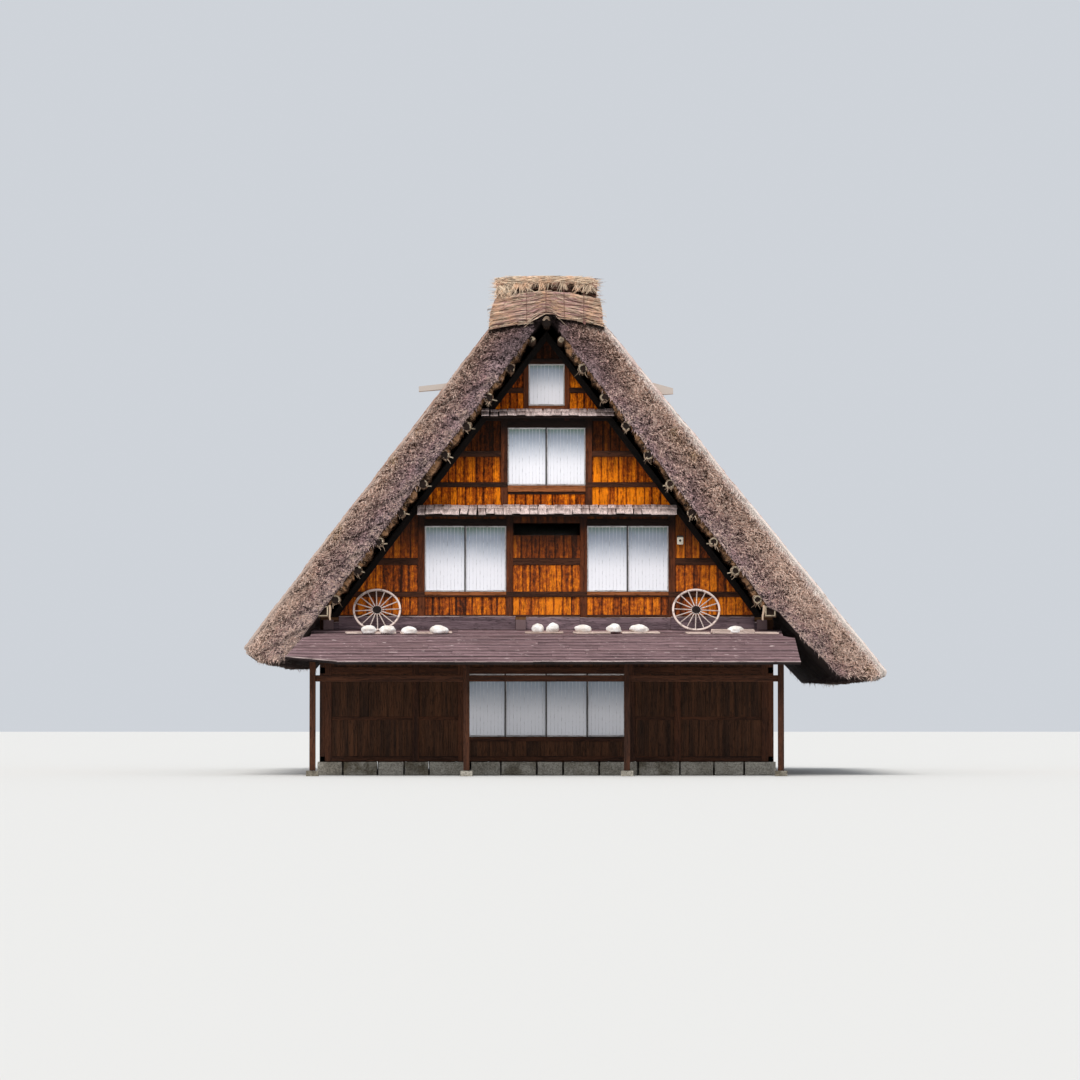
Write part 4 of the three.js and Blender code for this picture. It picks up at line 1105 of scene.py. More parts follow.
# Roof frames
# Each slope rests on squared rafters with round purlin poles laid across them. Their ends stand out under
# the verge, where straw rope lashes them, with a short stick through each lashing and loose rope tails.
RAFTER = {"top": 9.913, "under": 9.498, "width": 0.20, "foot": GABLE_FOOT, "end": 6.1497}
POLE = {"top": 10.038, "radius": 0.085, "first": 9.615, "step": 0.638, "count": 10, "end": 7.24}
POLE_WOOD = timber_finish("pole_wood", (50, 34, 24), (104, 76, 54), (150, 122, 94), 40.0)
POLE_END = timber_finish("pole_end", (14, 8, 5), (46, 27, 18), (64, 44, 32), 60.0)
ROPE, tree, shader = finish("straw_rope", 0.95)
across, along = axes(tree, trait(tree, "grain", "Vector"))[:2]
twist = sums(tree, "SINE", plus(tree, times(tree, along, 260.0), times(tree, across, 120.0)))
colour = mix(tree, trait(tree, "tone"), shade(96, 70, 52), shade(236, 208, 180))
colour = mix(tree, step(tree, twist, -1.0, 0.4, 0.45, 0.0), colour, shade(84, 60, 44))
wear(tree, shader, colour, twist, 0.004)
ROOF_SIDES = (("left", -1), ("right", 1))


def below(top, z):
    """Distance from the ridge line to a slope line that starts at a height, measured at height z."""
    return (top - z) / SLOPE


def turned(x, y, z, radius, angles):
    """Points round a centre, across the length of the house. All but the angles may be one number."""
    return columns(x + radius * np.cos(angles), y + 0 * angles, z + radius * np.sin(angles))


def lashing(rope, sticks, centre, radius, side, way, seed):
    """Turns of rope round a pole end, a stick caught in them that points inward, and hanging tails."""
    chance = np.random.default_rng(seed)
    x, y, z = centre
    turns = 3
    steps = 14 * turns
    angles = np.linspace(0, 2 * math.pi * turns, steps) + chance.uniform(0, 6)
    back = y - way * (0.045 + 0.075 * np.linspace(0, 1, steps))
    ring = radius + 0.006 + 0.010 * np.sin(angles * 3.1 + seed)
    # Painted shade: rope on the left slope is made darker, here and in the knots.
    light = chance.uniform(0.2, 0.8) * (0.4 if side < 0 else 1.0)
    rope.tube(turned(x, back, z, ring, angles), 0.012, 5, light)
    for tail in range(chance.integers(3, 7)):
        length = chance.uniform(0.06, 0.15)
        share = np.linspace(0, 1, 5)[:, None]
        root = np.array([x + radius * chance.uniform(-0.9, 0.9), y - way * chance.uniform(0.0, 0.06),
                         z - radius * chance.uniform(0.3, 0.9)])
        drop = np.array([-side * chance.uniform(-0.6, 0.9) * length, way * 0.02, -length])
        bow = np.array([0.03 * chance.uniform(-1, 1), way * 0.02, 0])
        rope.tube(root + share * drop + np.sin(share * math.pi) * bow, np.linspace(0.010, 0.004, 5), 4)
    if chance.random() < 0.55:
        length = chance.uniform(0.09, 0.15)
        root = np.array([x - side * radius * 0.6, y - way * 0.03, z - radius * chance.uniform(0.0, 0.7)])
        reach = np.array([-side * length, way * chance.uniform(-0.02, 0.02), chance.uniform(-0.05, 0.03)])
        sticks.tube([root - 0.3 * reach, root + 0.4 * reach, root + reach], [0.016, 0.015, 0.012], 7, 0.7)
    for knot in range(5):
        angle = chance.uniform(0, 6.28)
        spot = np.array([x + radius * math.cos(angle), y - way * 0.02, z + radius * math.sin(angle)])
        loop = np.linspace(0, 5.6, 9)[:, None]
        size = chance.uniform(0.018, 0.034)
        knotted = spot + size * np.hstack([np.cos(loop), 0.5 * np.sin(loop * 1.3) * way, np.sin(loop)])
        rope.tube(knotted, 0.010, 5, tone=chance.uniform(0.1, 0.9) * (0.6 if side < 0 else 1.0))


def pole_end(ends, rims, centre, radius, way, side, clear, pieces=9):
    """A sawn pole end: a dark sunken heart in a ring of pale bark, whole where it is clear and mostly worn
    away or covered where it isn't. On the left slope only the part of the ring that faces inward is pale:
    a painted highlight on the side the light falls on."""
    x, y, z = centre
    chance = rims.chance
    heart = rims if pieces < 9 else ends
    heart.tube([(x, y - way * 0.030, z), (x, y, z)], radius * 0.93, 14, tone=chance.uniform(0.0, 0.4))
    for piece in range(pieces):
        start = (piece + chance.uniform(-0.2, 0.2)) * 2 * math.pi / pieces
        inward = -side * math.cos(start)
        pale = 0.55 + 0.45 * chance.random() if clear else 0.6 * chance.random() + 0.3 * max(inward, 0)
        if not clear and chance.random() < 0.35:
            continue
        # Painted highlight: on the left slope the ring is pale only on its lit inward side.
        if side < 0:
            pale = pale * (0.25 + 0.75 * max(inward, 0))
        end = start + chance.uniform(0.75, 1.25) * 2 * math.pi / pieces
        angles = np.linspace(start, end, 5 if pieces > 4 else 2)
        ring = radius * chance.uniform(0.84, 0.98)
        path = turned(x, y + way * chance.uniform(-0.004, 0.006), z, ring, angles)
        (rims if pale > 0.40 else ends).tube(path, chance.uniform(0.011, 0.019), 5, pale)


RIM_WOOD = timber_finish("pale_rim", (84, 66, 48), (216, 198, 170), (236, 224, 204), 60.0)
CLEAR_ENDS = {"left": (0, 3, 7, 9), "right": (0, 5, 7, 8, 9)}
for name, side in ROOF_SIDES:
    rafters = Batch(81 + side)
    poles = Batch(84 + side)
    ends = Batch(87 + side)
    rims = Batch(90 + side)
    rope = Batch(93 + side)
    top, under, foot = RAFTER["top"], RAFTER["under"], RAFTER["foot"]
    section = [(below(under, foot), foot), (below(top, foot), foot), (0.001, top), (0.001, under)]
    for share in (-1, -0.5, 0, 0.5, 1):
        y = share * RAFTER["end"] - RAFTER["width"] / 2
        outline = [(RIDGE_X + side * u, y, z) for u, z in section]
        rafters.member(outline, (0, RAFTER["width"], 0), (side, 0, -SLOPE))
    for index in range(POLE["count"]):
        z = POLE["first"] - index * POLE["step"]
        x = RIDGE_X + side * below(POLE["top"], z)
        along = np.linspace(-POLE["end"] + 0.03, POLE["end"] - 0.03, 30)
        path = columns(np.full(30, x), along, np.full(30, z))
        bow = 0.010 * lattice(path, 1.6, index + 1)
        path[1:-1, 2] += bow[1:-1]
        poles.tube(path, POLE["radius"] * (0.96 + 0.04 * lattice(path, 0.9, 31 + index)), 14)
        for way in (-1, 1):
            end = (x, way * POLE["end"], z)
            size = POLE["radius"] * (1.0 if index else 0.75)
            pole_end(ends, rims, end, size, way, side, index in CLEAR_ENDS[name], 9 if index else 4)
            if index:
                lashing(rope, rims, end, size, side, way, 100 + 40 * index + 3 * way + side)
    node = [name + "_roof_frame"]
    rafters.made(name + "_rafters", BEAM_WOOD, "old_wood", node, 0.010)
    poles.made(name + "_purlin_poles", POLE_WOOD, "old_wood", node)
    ends.made(name + "_pole_hearts", POLE_END, "old_wood", node)
    rims.made(name + "_pole_rims", RIM_WOOD, "pale_wood", node)
    rope.made(name + "_lashings", ROPE, "straw", node)


# Eave beams and ridge pole
# A squared beam outside the rafter feet carries each eave. Its ends stand out under the verge with a pale
# worn edge round a dark sunken middle; on the left beam only the inner side of the edge is pale, a painted
# highlight on the side the light falls on. The ridge pole is round, and its ends are wrapped in straw rope.
for name, side in ROOF_SIDES:
    beam = Batch(111 + side)
    rim = Batch(113 + side)
    heart = Batch(115 + side)
    rope = Batch(117 + side)
    low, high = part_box(name + "_eave_beam")
    back = 0.05
    beam.box((low.x, low.y + back, low.z), (high.x, high.y - back, high.z), "y")
    for way, end in ((-1, low.y), (1, high.y)):
        y0, y1 = sorted((end, end - way * back))
        edge = 0.028
        for x0, x1, z0, z1 in ((low.x, high.x, low.z, low.z + edge), (low.x, high.x, high.z - edge, high.z),
                               (low.x, low.x + edge, low.z + edge, high.z - edge),
                               (high.x - edge, high.x, low.z + edge, high.z - edge)):
            # Painted highlight: on the left beam only the inner strip of the rim is pale.
            pale_lit_strip = (x0 > low.x + edge) if side < 0 else True
            rim.box((x0, y0, z0), (x1, y1, z1), "x" if x1 - x0 > z1 - z0 else "z", 0.95 if pale_lit_strip else 0.05)
        heart.box((low.x + edge, end - way * 0.045 - 0.002, low.z + edge),
                  (high.x - edge, end - way * 0.045 + 0.002, high.z - edge), "z")
        inner = low.x if side > 0 else high.x
        top = np.array([inner - side * 0.03, end - way * 0.03, high.z + 0.02])
        share = np.linspace(0, 1, 7)[:, None]
        fall = top + share * (-side * 0.02, way * 0.02, -0.33) + np.sin(share * 6) * (0.01, 0, 0)
        rope.tube(fall, np.linspace(0.030, 0.020, 7), 7, tone=0.9)
        round_beam = oblong(low.x - 0.012, high.x + 0.012, low.z - 0.012, high.z + 0.012)
        for turn in range(3):
            y = end - way * (0.07 + 0.035 * turn)
            rope.tube([(x, y, z) for x, z in round_beam + round_beam[:1]], 0.014, 5, tone=0.1)
    node = [name + "_eave_beam"]
    beam.made(name + "_squared_eave_beam", BEAM_WOOD, "old_wood", node, 0.012)
    rim.made(name + "_eave_beam_rims", RIM_WOOD, "pale_wood", node, 0.006)
    heart.made(name + "_eave_beam_hearts", POLE_END, "old_wood", node)
    rope.made(name + "_eave_beam_ropes", ROPE, "straw", node)

low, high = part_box("ridge_pole")
centre = (low + high) / 2
radius = (high.x - low.x) / 2
pole = Batch(121)
rope = Batch(122)
dark_ends = Batch(123)
steps = np.linspace(low.y + 0.02, high.y - 0.02, 24)
pole.tube(columns(np.full(24, centre.x), steps, np.full(24, centre.z)), radius, 14, tone=0.3)
for way, end in ((-1, low.y), (1, high.y)):
    angles = np.linspace(0, 2 * math.pi * 5, 70)
    back = end - way * (0.01 + 0.16 * np.linspace(0, 1, 70))
    dark_ends.tube(turned(centre.x, back, centre.z, radius + 0.008, angles), 0.016, 6, tone=0.0)
    heart = [(centre.x, end - way * 0.021, centre.z), (centre.x, end - way * 0.004, centre.z)]
    dark_ends.tube(heart, radius * 0.99, 14, tone=0.0)
    for loop in range(7):
        angle = 0.7 + 0.29 * loop
        x = centre.x + 0.9 * radius * math.cos(angle)
        z = centre.z + 1.15 * radius * math.sin(angle)
        bend = turned(x, end - way * 0.026 * 0.4, z, 0.026, np.linspace(0, 5.8, 9))
        rope.tube(bend, 0.012, 5, tone=0.35 + 0.1 * loop)
pole.made("ridge_round_pole", POLE_WOOD, "old_wood", ["ridge_pole"])
dark_ends.made("ridge_pole_hearts", POLE_END, "old_wood", ["ridge_pole"])
rope.made("ridge_pole_ropes", ROPE, "straw", ["ridge_pole"])


# Thatch
# Each slope is a thick bed of reed, laid with the cut ends down and trimmed. At the verge the bed shows
# as a rough face of cut stalks, split by the joints between its layers. Its underside lies on reed mats.
VERGE_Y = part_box("left_thatch")[1].y
CAP_FOOT = [(-1.330, 9.86), (-1.276, 9.80), (-0.80, 9.90), (-0.323, 9.985), (-0.147, 10.11), (-0.015, 10.175),
            (0.183, 10.165), (0.230, 10.075), (0.733, 10.01), (1.195, 9.90), (1.330, 9.86)]
LEFT_FOOT = [(6.675, 2.833), (6.600, 2.660), (6.380, 2.515)]
RIGHT_FOOT = [(7.505, 2.293), (7.465, 2.190), (7.330, 2.130)]
THATCH_SHAPE = {
    -1: {"outer": [(1.300, 9.857)] + LEFT_FOOT, "inner": [(0.002, 10.180), (5.776, 2.515)]},
    1: {"outer": [(1.310, 9.937)] + RIGHT_FOOT,
        "inner": [(0.002, 10.180), (4.880, 3.700), (5.120, 3.600), (5.755, 2.882), (6.445, 2.181)]},
}
ROWS, LAYERS = 210, 26
VERGE_ROUND = 0.20
BED_SHARE = 0.78
SLOPE_LONG = 8.9
VERGE_STEPS = [0.0, 0.03, 0.06, 0.09, 0.12, 0.16, 0.20, 0.25, 0.31, 0.40, 0.52]

# A scatter of stalks over a surface, each leaning along the flow that the surface carries
STALKS, start, end = group("stalks", [
    GEOMETRY, MATERIAL, ("Density", "Float"), ("Length", "Float"), ("Radius", "Float"), ("Spread", "Float"),
    ("Seed", "Int")], [GEOMETRY], "Geometry")
scatter = {"Mesh": start["Geometry"], "Density": start["Density"], "Seed": start["Seed"]}
roots = add(STALKS, "GeometryNodeDistributePointsOnFaces", scatter, distribute_method="RANDOM").outputs[0]
sway = {0: chance_vector(STALKS, (1.0, 1.0, 1.0), start["Seed"], 1), "Scale": start["Spread"]}
sway = add(STALKS, "ShaderNodeVectorMath", sway, operation="SCALE").outputs[0]
aim = vector_sum(STALKS, "ADD", kept_value(STALKS, "flow", "FLOAT_VECTOR"), sway)
aim = add(STALKS, "FunctionNodeAlignRotationToVector", {"Vector": aim}, axis="Z").outputs[0]
cone = {"Vertices": 3, "Radius Top": 0.0, "Radius Bottom": 1.0, "Depth": 1.0}
stalk = add(STALKS, "GeometryNodeMeshCone", cone, fill_type="NGON").outputs["Mesh"]
stalk = keep_value(STALKS, stalk, "tip", axes(STALKS, position(STALKS))[2])


def own_chance(low, high, offset):
    """A random number for each stalk, apart from its others."""
    return chance_number(STALKS, plus(STALKS, start["Seed"], float(offset)), low, high)


thick = times(STALKS, start["Radius"], own_chance(0.6, 1.35, 5))
long = times(STALKS, start["Length"], own_chance(0.35, 1.5, 6))
size = joined(STALKS, thick, thick, long)
real = copied(STALKS, roots, stalk, own_chance(0.0, 1.0, 7), rotation=aim, scale=size)
ended(STALKS, real, start, end)


def along_line(corners, shares):
    """Points at shares of the length of a bent line."""
    corners = np.asarray(corners, float)
    lengths = np.concatenate([[0], np.cumsum(np.linalg.norm(np.diff(corners, axis=0), axis=1))])
    return np.stack([np.interp(shares * lengths[-1], lengths, corners[:, axis]) for axis in (0, 1)], axis=1)


def grid_faces(index, flip):
    """Faces between neighbouring points of a two-way table of point numbers."""
    a, b, c, d = index[:-1, :-1], index[1:, :-1], index[1:, 1:], index[:-1, 1:]
    order = (a, d, c, b) if flip else (a, b, c, d)
    return np.stack([part.ravel() for part in order], axis=1)


def shell(rows, layers, steps, flip):
    """The outside of a block of points, as the place of each point in the block and the faces of each side.
    The flip is for a block whose three directions are left-handed."""
    s, t, v = np.meshgrid(np.arange(rows), np.arange(layers), np.arange(steps), indexing="ij")
    outside = (s == 0) | (s == rows - 1) | (t == 0) | (t == layers - 1) | (v == 0) | (v == steps - 1)
    number = np.full(outside.shape, -1)
    number[outside] = np.arange(outside.sum())
    sides = {"front": grid_faces(number[:, :, 0], not flip), "back": grid_faces(number[:, :, -1], flip),
             "first": grid_faces(number[:, 0, :], flip), "last": grid_faces(number[:, -1, :], not flip),
             "head": grid_faces(number[0, :, :], not flip), "foot": grid_faces(number[-1, :, :], flip)}
    return s[outside], t[outside], v[outside], sides


def whole(sides):
    return np.concatenate(list(sides.values()))


def surface_of(points, faces, traits):
    """A mesh with its traits at its points."""
    used, numbers = np.unique(faces, return_inverse=True)
    mesh = bpy.data.meshes.new("surface")
    mesh.from_pydata(points[used].tolist(), [], numbers.reshape(faces.shape).tolist())
    for name, values in traits.items():
        carry(mesh, name, values[used], "FLOAT_VECTOR" if values.ndim == 2 else "FLOAT")
    return mesh


def smooth(value, low, high):
    """A smooth change from 0 to 1 as a value goes from low to high."""
    share = np.clip((value - low) / (high - low), 0, 1)
    return share * share * (3 - 2 * share)


def height_on(line, place):
    """The second number of a bent line at a place along the first."""
    return np.interp(place, *zip(*line))


def thatch_bed(side):
    """The bed of one slope: its points, its faces by part, and what each point carries."""
    shape = THATCH_SHAPE[side]
    shares = np.linspace(0, 1, ROWS)
    outer = along_line(shape["outer"], shares)
    inner = along_line(shape["inner"], shares)
    near = [-VERGE_Y + distance for distance in VERGE_STEPS]
    middle = np.linspace(near[-1], -near[-1], 52)
    places = np.concatenate([near[:-1], middle, [-y for y in reversed(near[:-1])]])
    depth = np.linspace(0, 1, LAYERS) ** 1.05
    s, t, v, parts = shell(ROWS, LAYERS, len(places), side < 0)
    width = np.linalg.norm(outer - inner, axis=1)[s]
    deepest = width * BED_SHARE
    below_top = depth[t] * deepest
    from_end = VERGE_Y - np.abs(places[v])
    corner = (below_top < VERGE_ROUND) & (from_end < VERGE_ROUND) & ((t == 0) | (from_end < 0.001))
    angle = np.where(from_end < 0.001, 1 - below_top / VERGE_ROUND, 1 + from_end / VERGE_ROUND) * math.pi / 4
    round_top = np.where(corner, VERGE_ROUND * (1 - np.sin(angle)), below_top)
    round_end = np.where(corner, VERGE_ROUND * (1 - np.cos(angle)), from_end)
    deep = round_top / np.maximum(deepest, 0.01)
    flat = outer[s] * (1 - deep[:, None]) + inner[s] * deep[:, None]
    y = np.sign(places[v]) * (VERGE_Y - round_end)
    points = columns(RIDGE_X + side * flat[:, 0], y, flat[:, 1])
    lay = columns(s * SLOPE_LONG / ROWS, depth[t] * width, points[:, 1])
    return points, parts, depth[t], lay


JOINT_PITCH = 0.44
JOINT_WIDE = 0.026
JOINT_TILT = math.radians(27)
JOINT_BENDS = ((0.10, 1.1, 5), (0.045, 0.33, 6), (0.015, 0.11, 7))


def layer_joints(points, side):
    """Dark joints between the layers of reed, which rise towards the ridge less steeply than the slope."""
    out = side * (points[:, 0] - RIDGE_X)
    bent = sum(much * lattice(points, size, seed) for much, size, seed in JOINT_BENDS)
    level = (out * math.sin(JOINT_TILT) + points[:, 2] * math.cos(JOINT_TILT) + bent) / JOINT_PITCH
    nearest = np.abs(level - np.round(level)) * JOINT_PITCH
    present = smooth(lattice(points, 0.8, 8), -0.40, 0.40) * (1.0 if side < 0 else 0.45)
    return np.exp(-(nearest / JOINT_WIDE) ** 2) * present


def outward(points, faces):
    """The outward direction at each point of a closed shape."""
    mesh = bpy.data.meshes.new("shape")
    mesh.from_pydata(points.tolist(), [], faces.tolist())
    normals = np.zeros(len(points) * 3, np.float32)
    mesh.vertex_normals.foreach_get("vector", normals)
    bpy.data.meshes.remove(mesh)
    return normals.reshape(-1, 3)


# The colour of reed, shared by the bed and the stalks on it: bright along the outer edge, then warm, then
# a purple grey towards the inside, with mossy patches, and everywhere broken into light and dark clumps.
# The bright outer edge is partly a painted highlight; painted light also brightens the lower verge and the
# left slope's foot, and painted shade darkens the reed under the ridge cap.
REED_TONE, start, end = group("reed_tone", [("Deep", "Float"), ("Cut", "Float"), ("Bright", "Float", 1.0),
                                            ("Lay", "Vector")], [("Colour", "Color")])
tree = REED_TONE
place = object_place(tree)
deep, cut = start["Deep"], start["Cut"]
drift = times(tree, minus(tree, noise(tree, place, 1.3, 4), 0.5), 0.75)
wander = plus(tree, deep, drift)
inside = ramp(tree, wander, (0.0, shade(238, 190, 166)), (0.28, shade(224, 178, 158)),
              (0.55, shade(194, 158, 148)), (0.86, shade(182, 152, 152)), (1.0, shade(192, 166, 168)))
frayed = minus(tree, noise(tree, place, 8.0, 4, 0.7), 0.5)
edge = plus(tree, deep, times(tree, drift, 0.16), times(tree, frayed, 0.16))
x, _, height = axes(tree, place)
# Painted light: lower on the verge the reed is lit brighter and pinker.
glow = times(tree, step(tree, height, 3.6, 7.2, 0.80, 0.30), step(tree, wander, 0.25, 0.68, 1.0, 0.0))
colour = mix(tree, glow, inside, shade(255, 214, 192))
# A painted highlight on the rounded outer edge, partly the paler cut ends there.
colour = layered(tree, colour, [
    (step(tree, edge, 0.09, 0.22, 1.0, 0.0), (246, 204, 188)),
    (step(tree, edge, 0.06, 0.19, 1.0, 0.0), (255, 224, 214))])
moss = times(tree, step(tree, noise(tree, place, 0.9, 4), 0.55, 0.66),
             step(tree, deep, 0.25, 0.60, 0.55, 0.0), step(tree, edge, 0.10, 0.22))
colour = mix(tree, moss, colour, shade(170, 136, 82))
strokes = stretched(tree, place, (0.70, 1.0, 1.15))
broad = minus(tree, noise(tree, strokes, 10.0, 3, 0.6), 0.5)
clump = plus(tree, noise(tree, strokes, 27.0, 5, 0.78), times(tree, broad, 0.36))
combed = noise(tree, stretched(tree, start["Lay"], (1.5, 6.0, 34.0)), 1.0, 5, 0.75)
clump = between(tree, cut, combed, clump)
inner = step(tree, edge, 0.07, 0.18)
low = between(tree, cut, 0.50, between(tree, inner, 0.82, 0.06))
high = between(tree, cut, 1.20, between(tree, inner, 1.10, 1.78))
light = between(tree, step(tree, clump, 0.42, 0.57), low, high)
# Painted shade under the ridge cap, and painted light on the left slope's foot.
cap_shade = times(tree, step(tree, height, 8.4, 9.4), step(tree, wander, 0.15, 0.45, 0.15, 0.42))
left_foot_light = step(tree, x, -6.3, -4.5, 1.40, 1.0)
clouds = step(tree, noise(tree, place, 2.2, 3), 0.36, 0.64, 0.82, 1.20)
sunny = times(tree, step(tree, height, 3.2, 6.4, 1.46, 1.10), plus(tree, 1.0, times(tree, glow, 0.25)),
              minus(tree, 1.0, cap_shade), clouds, left_foot_light)
brightest = mix(tree, inner, shade(255, 230, 220), shade(252, 216, 200))
lit = scaled(tree, colour, times(tree, light, sunny, start["Bright"]))
tree.links.new(mix(tree, 1.0, lit, brightest, "DARKEN"), end["Colour"])

THATCH, tree, shader = finish("cut_reed", 1.0, specular=0.05)
place = object_place(tree)
cut = trait(tree, "cut")
reed = placed(tree, REED_TONE, {"Deep": trait(tree, "deep"), "Cut": cut, "Lay": trait(tree, "lay", "Vector")})
tint, seam = placed(tree, GRIT, {"Place": place, "Cells": 34.0})
# Painted shade in the pits between the cut stalk ends.
pit_shade = times(tree, seam, cut)
colour = mix(tree, times(tree, pit_shade, 0.45), reed["Colour"], shade(58, 42, 38))
# Dark layer joints and painted shade.
colour = mix(tree, times(tree, trait(tree, "joint"), 0.94), colour, shade(18, 12, 11))
wear(tree, shader, colour, minus(tree, tint, pit_shade), 0.025)

REED, tree, shader = finish("reed_stalks", 1.0, specular=0.05)
deep = trait(tree, "deep")
bright = step(tree, trait(tree, "tone"), 0.15, 0.85, 0.36, 1.60)
bright = between(tree, step(tree, deep, 0.70, 0.95), bright, 0.90)
reed = placed(tree, REED_TONE, {"Deep": deep, "Cut": trait(tree, "cut"), "Bright": bright,
                                "Lay": trait(tree, "lay", "Vector")})
# Painted shade: each stalk darkens towards its root among the others.
colour = mix(tree, step(tree, trait(tree, "tip"), -0.2, 0.5, 0.55, 0.0), reed["Colour"], shade(60, 44, 42))
# Dark layer joints and painted shade.
colour = mix(tree, times(tree, trait(tree, "joint"), 0.94), colour, shade(18, 12, 11))
wear(tree, shader, colour)

MAT_REED, tree, shader = finish("mat_reed", 0.95, specular=0.08)
lay = trait(tree, "lay", "Vector")
folds = noise(tree, stretched(tree, lay, (12.0, 5.0, 3.0)), 1.0, 4, 0.75)
fine = noise(tree, stretched(tree, lay, (70.0, 14.0, 12.0)), 1.0, 3)
colour = mix(tree, step(tree, folds, 0.40, 0.60), shade(24, 15, 10), shade(140, 104, 76))
# The last layer is painted shade on the mat's top against the thatch and on its sagging underside.
colour = layered(tree, colour, [
    (step(tree, fine, 0.52, 0.72, 0.0, 0.6), (216, 178, 144)),
    (trait(tree, "deep"), (26, 18, 12))])
wear(tree, shader, colour, plus(tree, folds, fine), 0.03)


def kept_inside(mesh):
    """Presses the few points that stand out of the house's own box back to its sides."""
    places = np.zeros(len(mesh.vertices) * 3, np.float32)
    mesh.vertices.foreach_get("co", places)
    low, high = np.array(cad_low) + 0.002, np.array(cad_high) - 0.002
    mesh.vertices.foreach_set("co", np.clip(places.reshape(-1, 3), low, high).ravel())
    return mesh


def cap_foot(x):
    """The height of the cap's lower edge at a distance across from the ridge."""
    return height_on(CAP_FOOT, x)


REED_MAT = [(0.40, 9.652), (4.84, 3.760)]
REED_MAT_WIDE = 1.30
REED_MAT_DOWN = (0.799, 0.602)


def eave_mat(side, way):
    """The edge of the reed mats under the thatch at one end of a slope. It sags between the poles."""
    rows, layers, steps = 260, 9, 9
    s, t, v, parts = shell(rows, layers, steps, (side < 0) == (way < 0))
    line = along_line(REED_MAT, np.linspace(0, 1, rows))
    u, z = line[s, 0], line[s, 1]
    y = way * (POLE["end"] + 0.01 - v / (steps - 1) * REED_MAT_WIDE)
    span = np.abs(np.sin((POLE["first"] - z) / POLE["step"] * math.pi))
    ragged = columns(u, np.zeros(len(u)), z)
    sag = 0.050 + 0.100 * span ** 0.6 * (0.85 + 0.5 * lattice(ragged, 0.9, 21 + side))
    sag = sag + 0.045 * lattice(ragged, 0.16, 24 + side) + 0.040 * lattice(ragged, 0.06, 33 + side)
    share = t / (layers - 1)
    deep = sag * share - 0.03 * (1 - share)
    inward, down = REED_MAT_DOWN
    points = columns(RIDGE_X + side * (u - inward * deep), y, z - down * deep)
    faces = whole(parts)
    away = outward(points, faces)
    rough = 0.024 * (1 + lattice(points * (1, 0.4, 1), 0.10, 27)) + 0.012 * (1 + lattice(points, 0.04, 28))
    points = points - away * rough[:, None]
    lay = columns(line[s, 1] * 1.25, deep, y)
    # The deep value marks the mat's top and underside for painted shade.
    traits = {"lay": lay, "deep": smooth(share, 0.85, 1.0) * 0.5 + 0.5 * smooth(-share, -0.12, 0.0)}
    return surface_of(points, faces, traits)


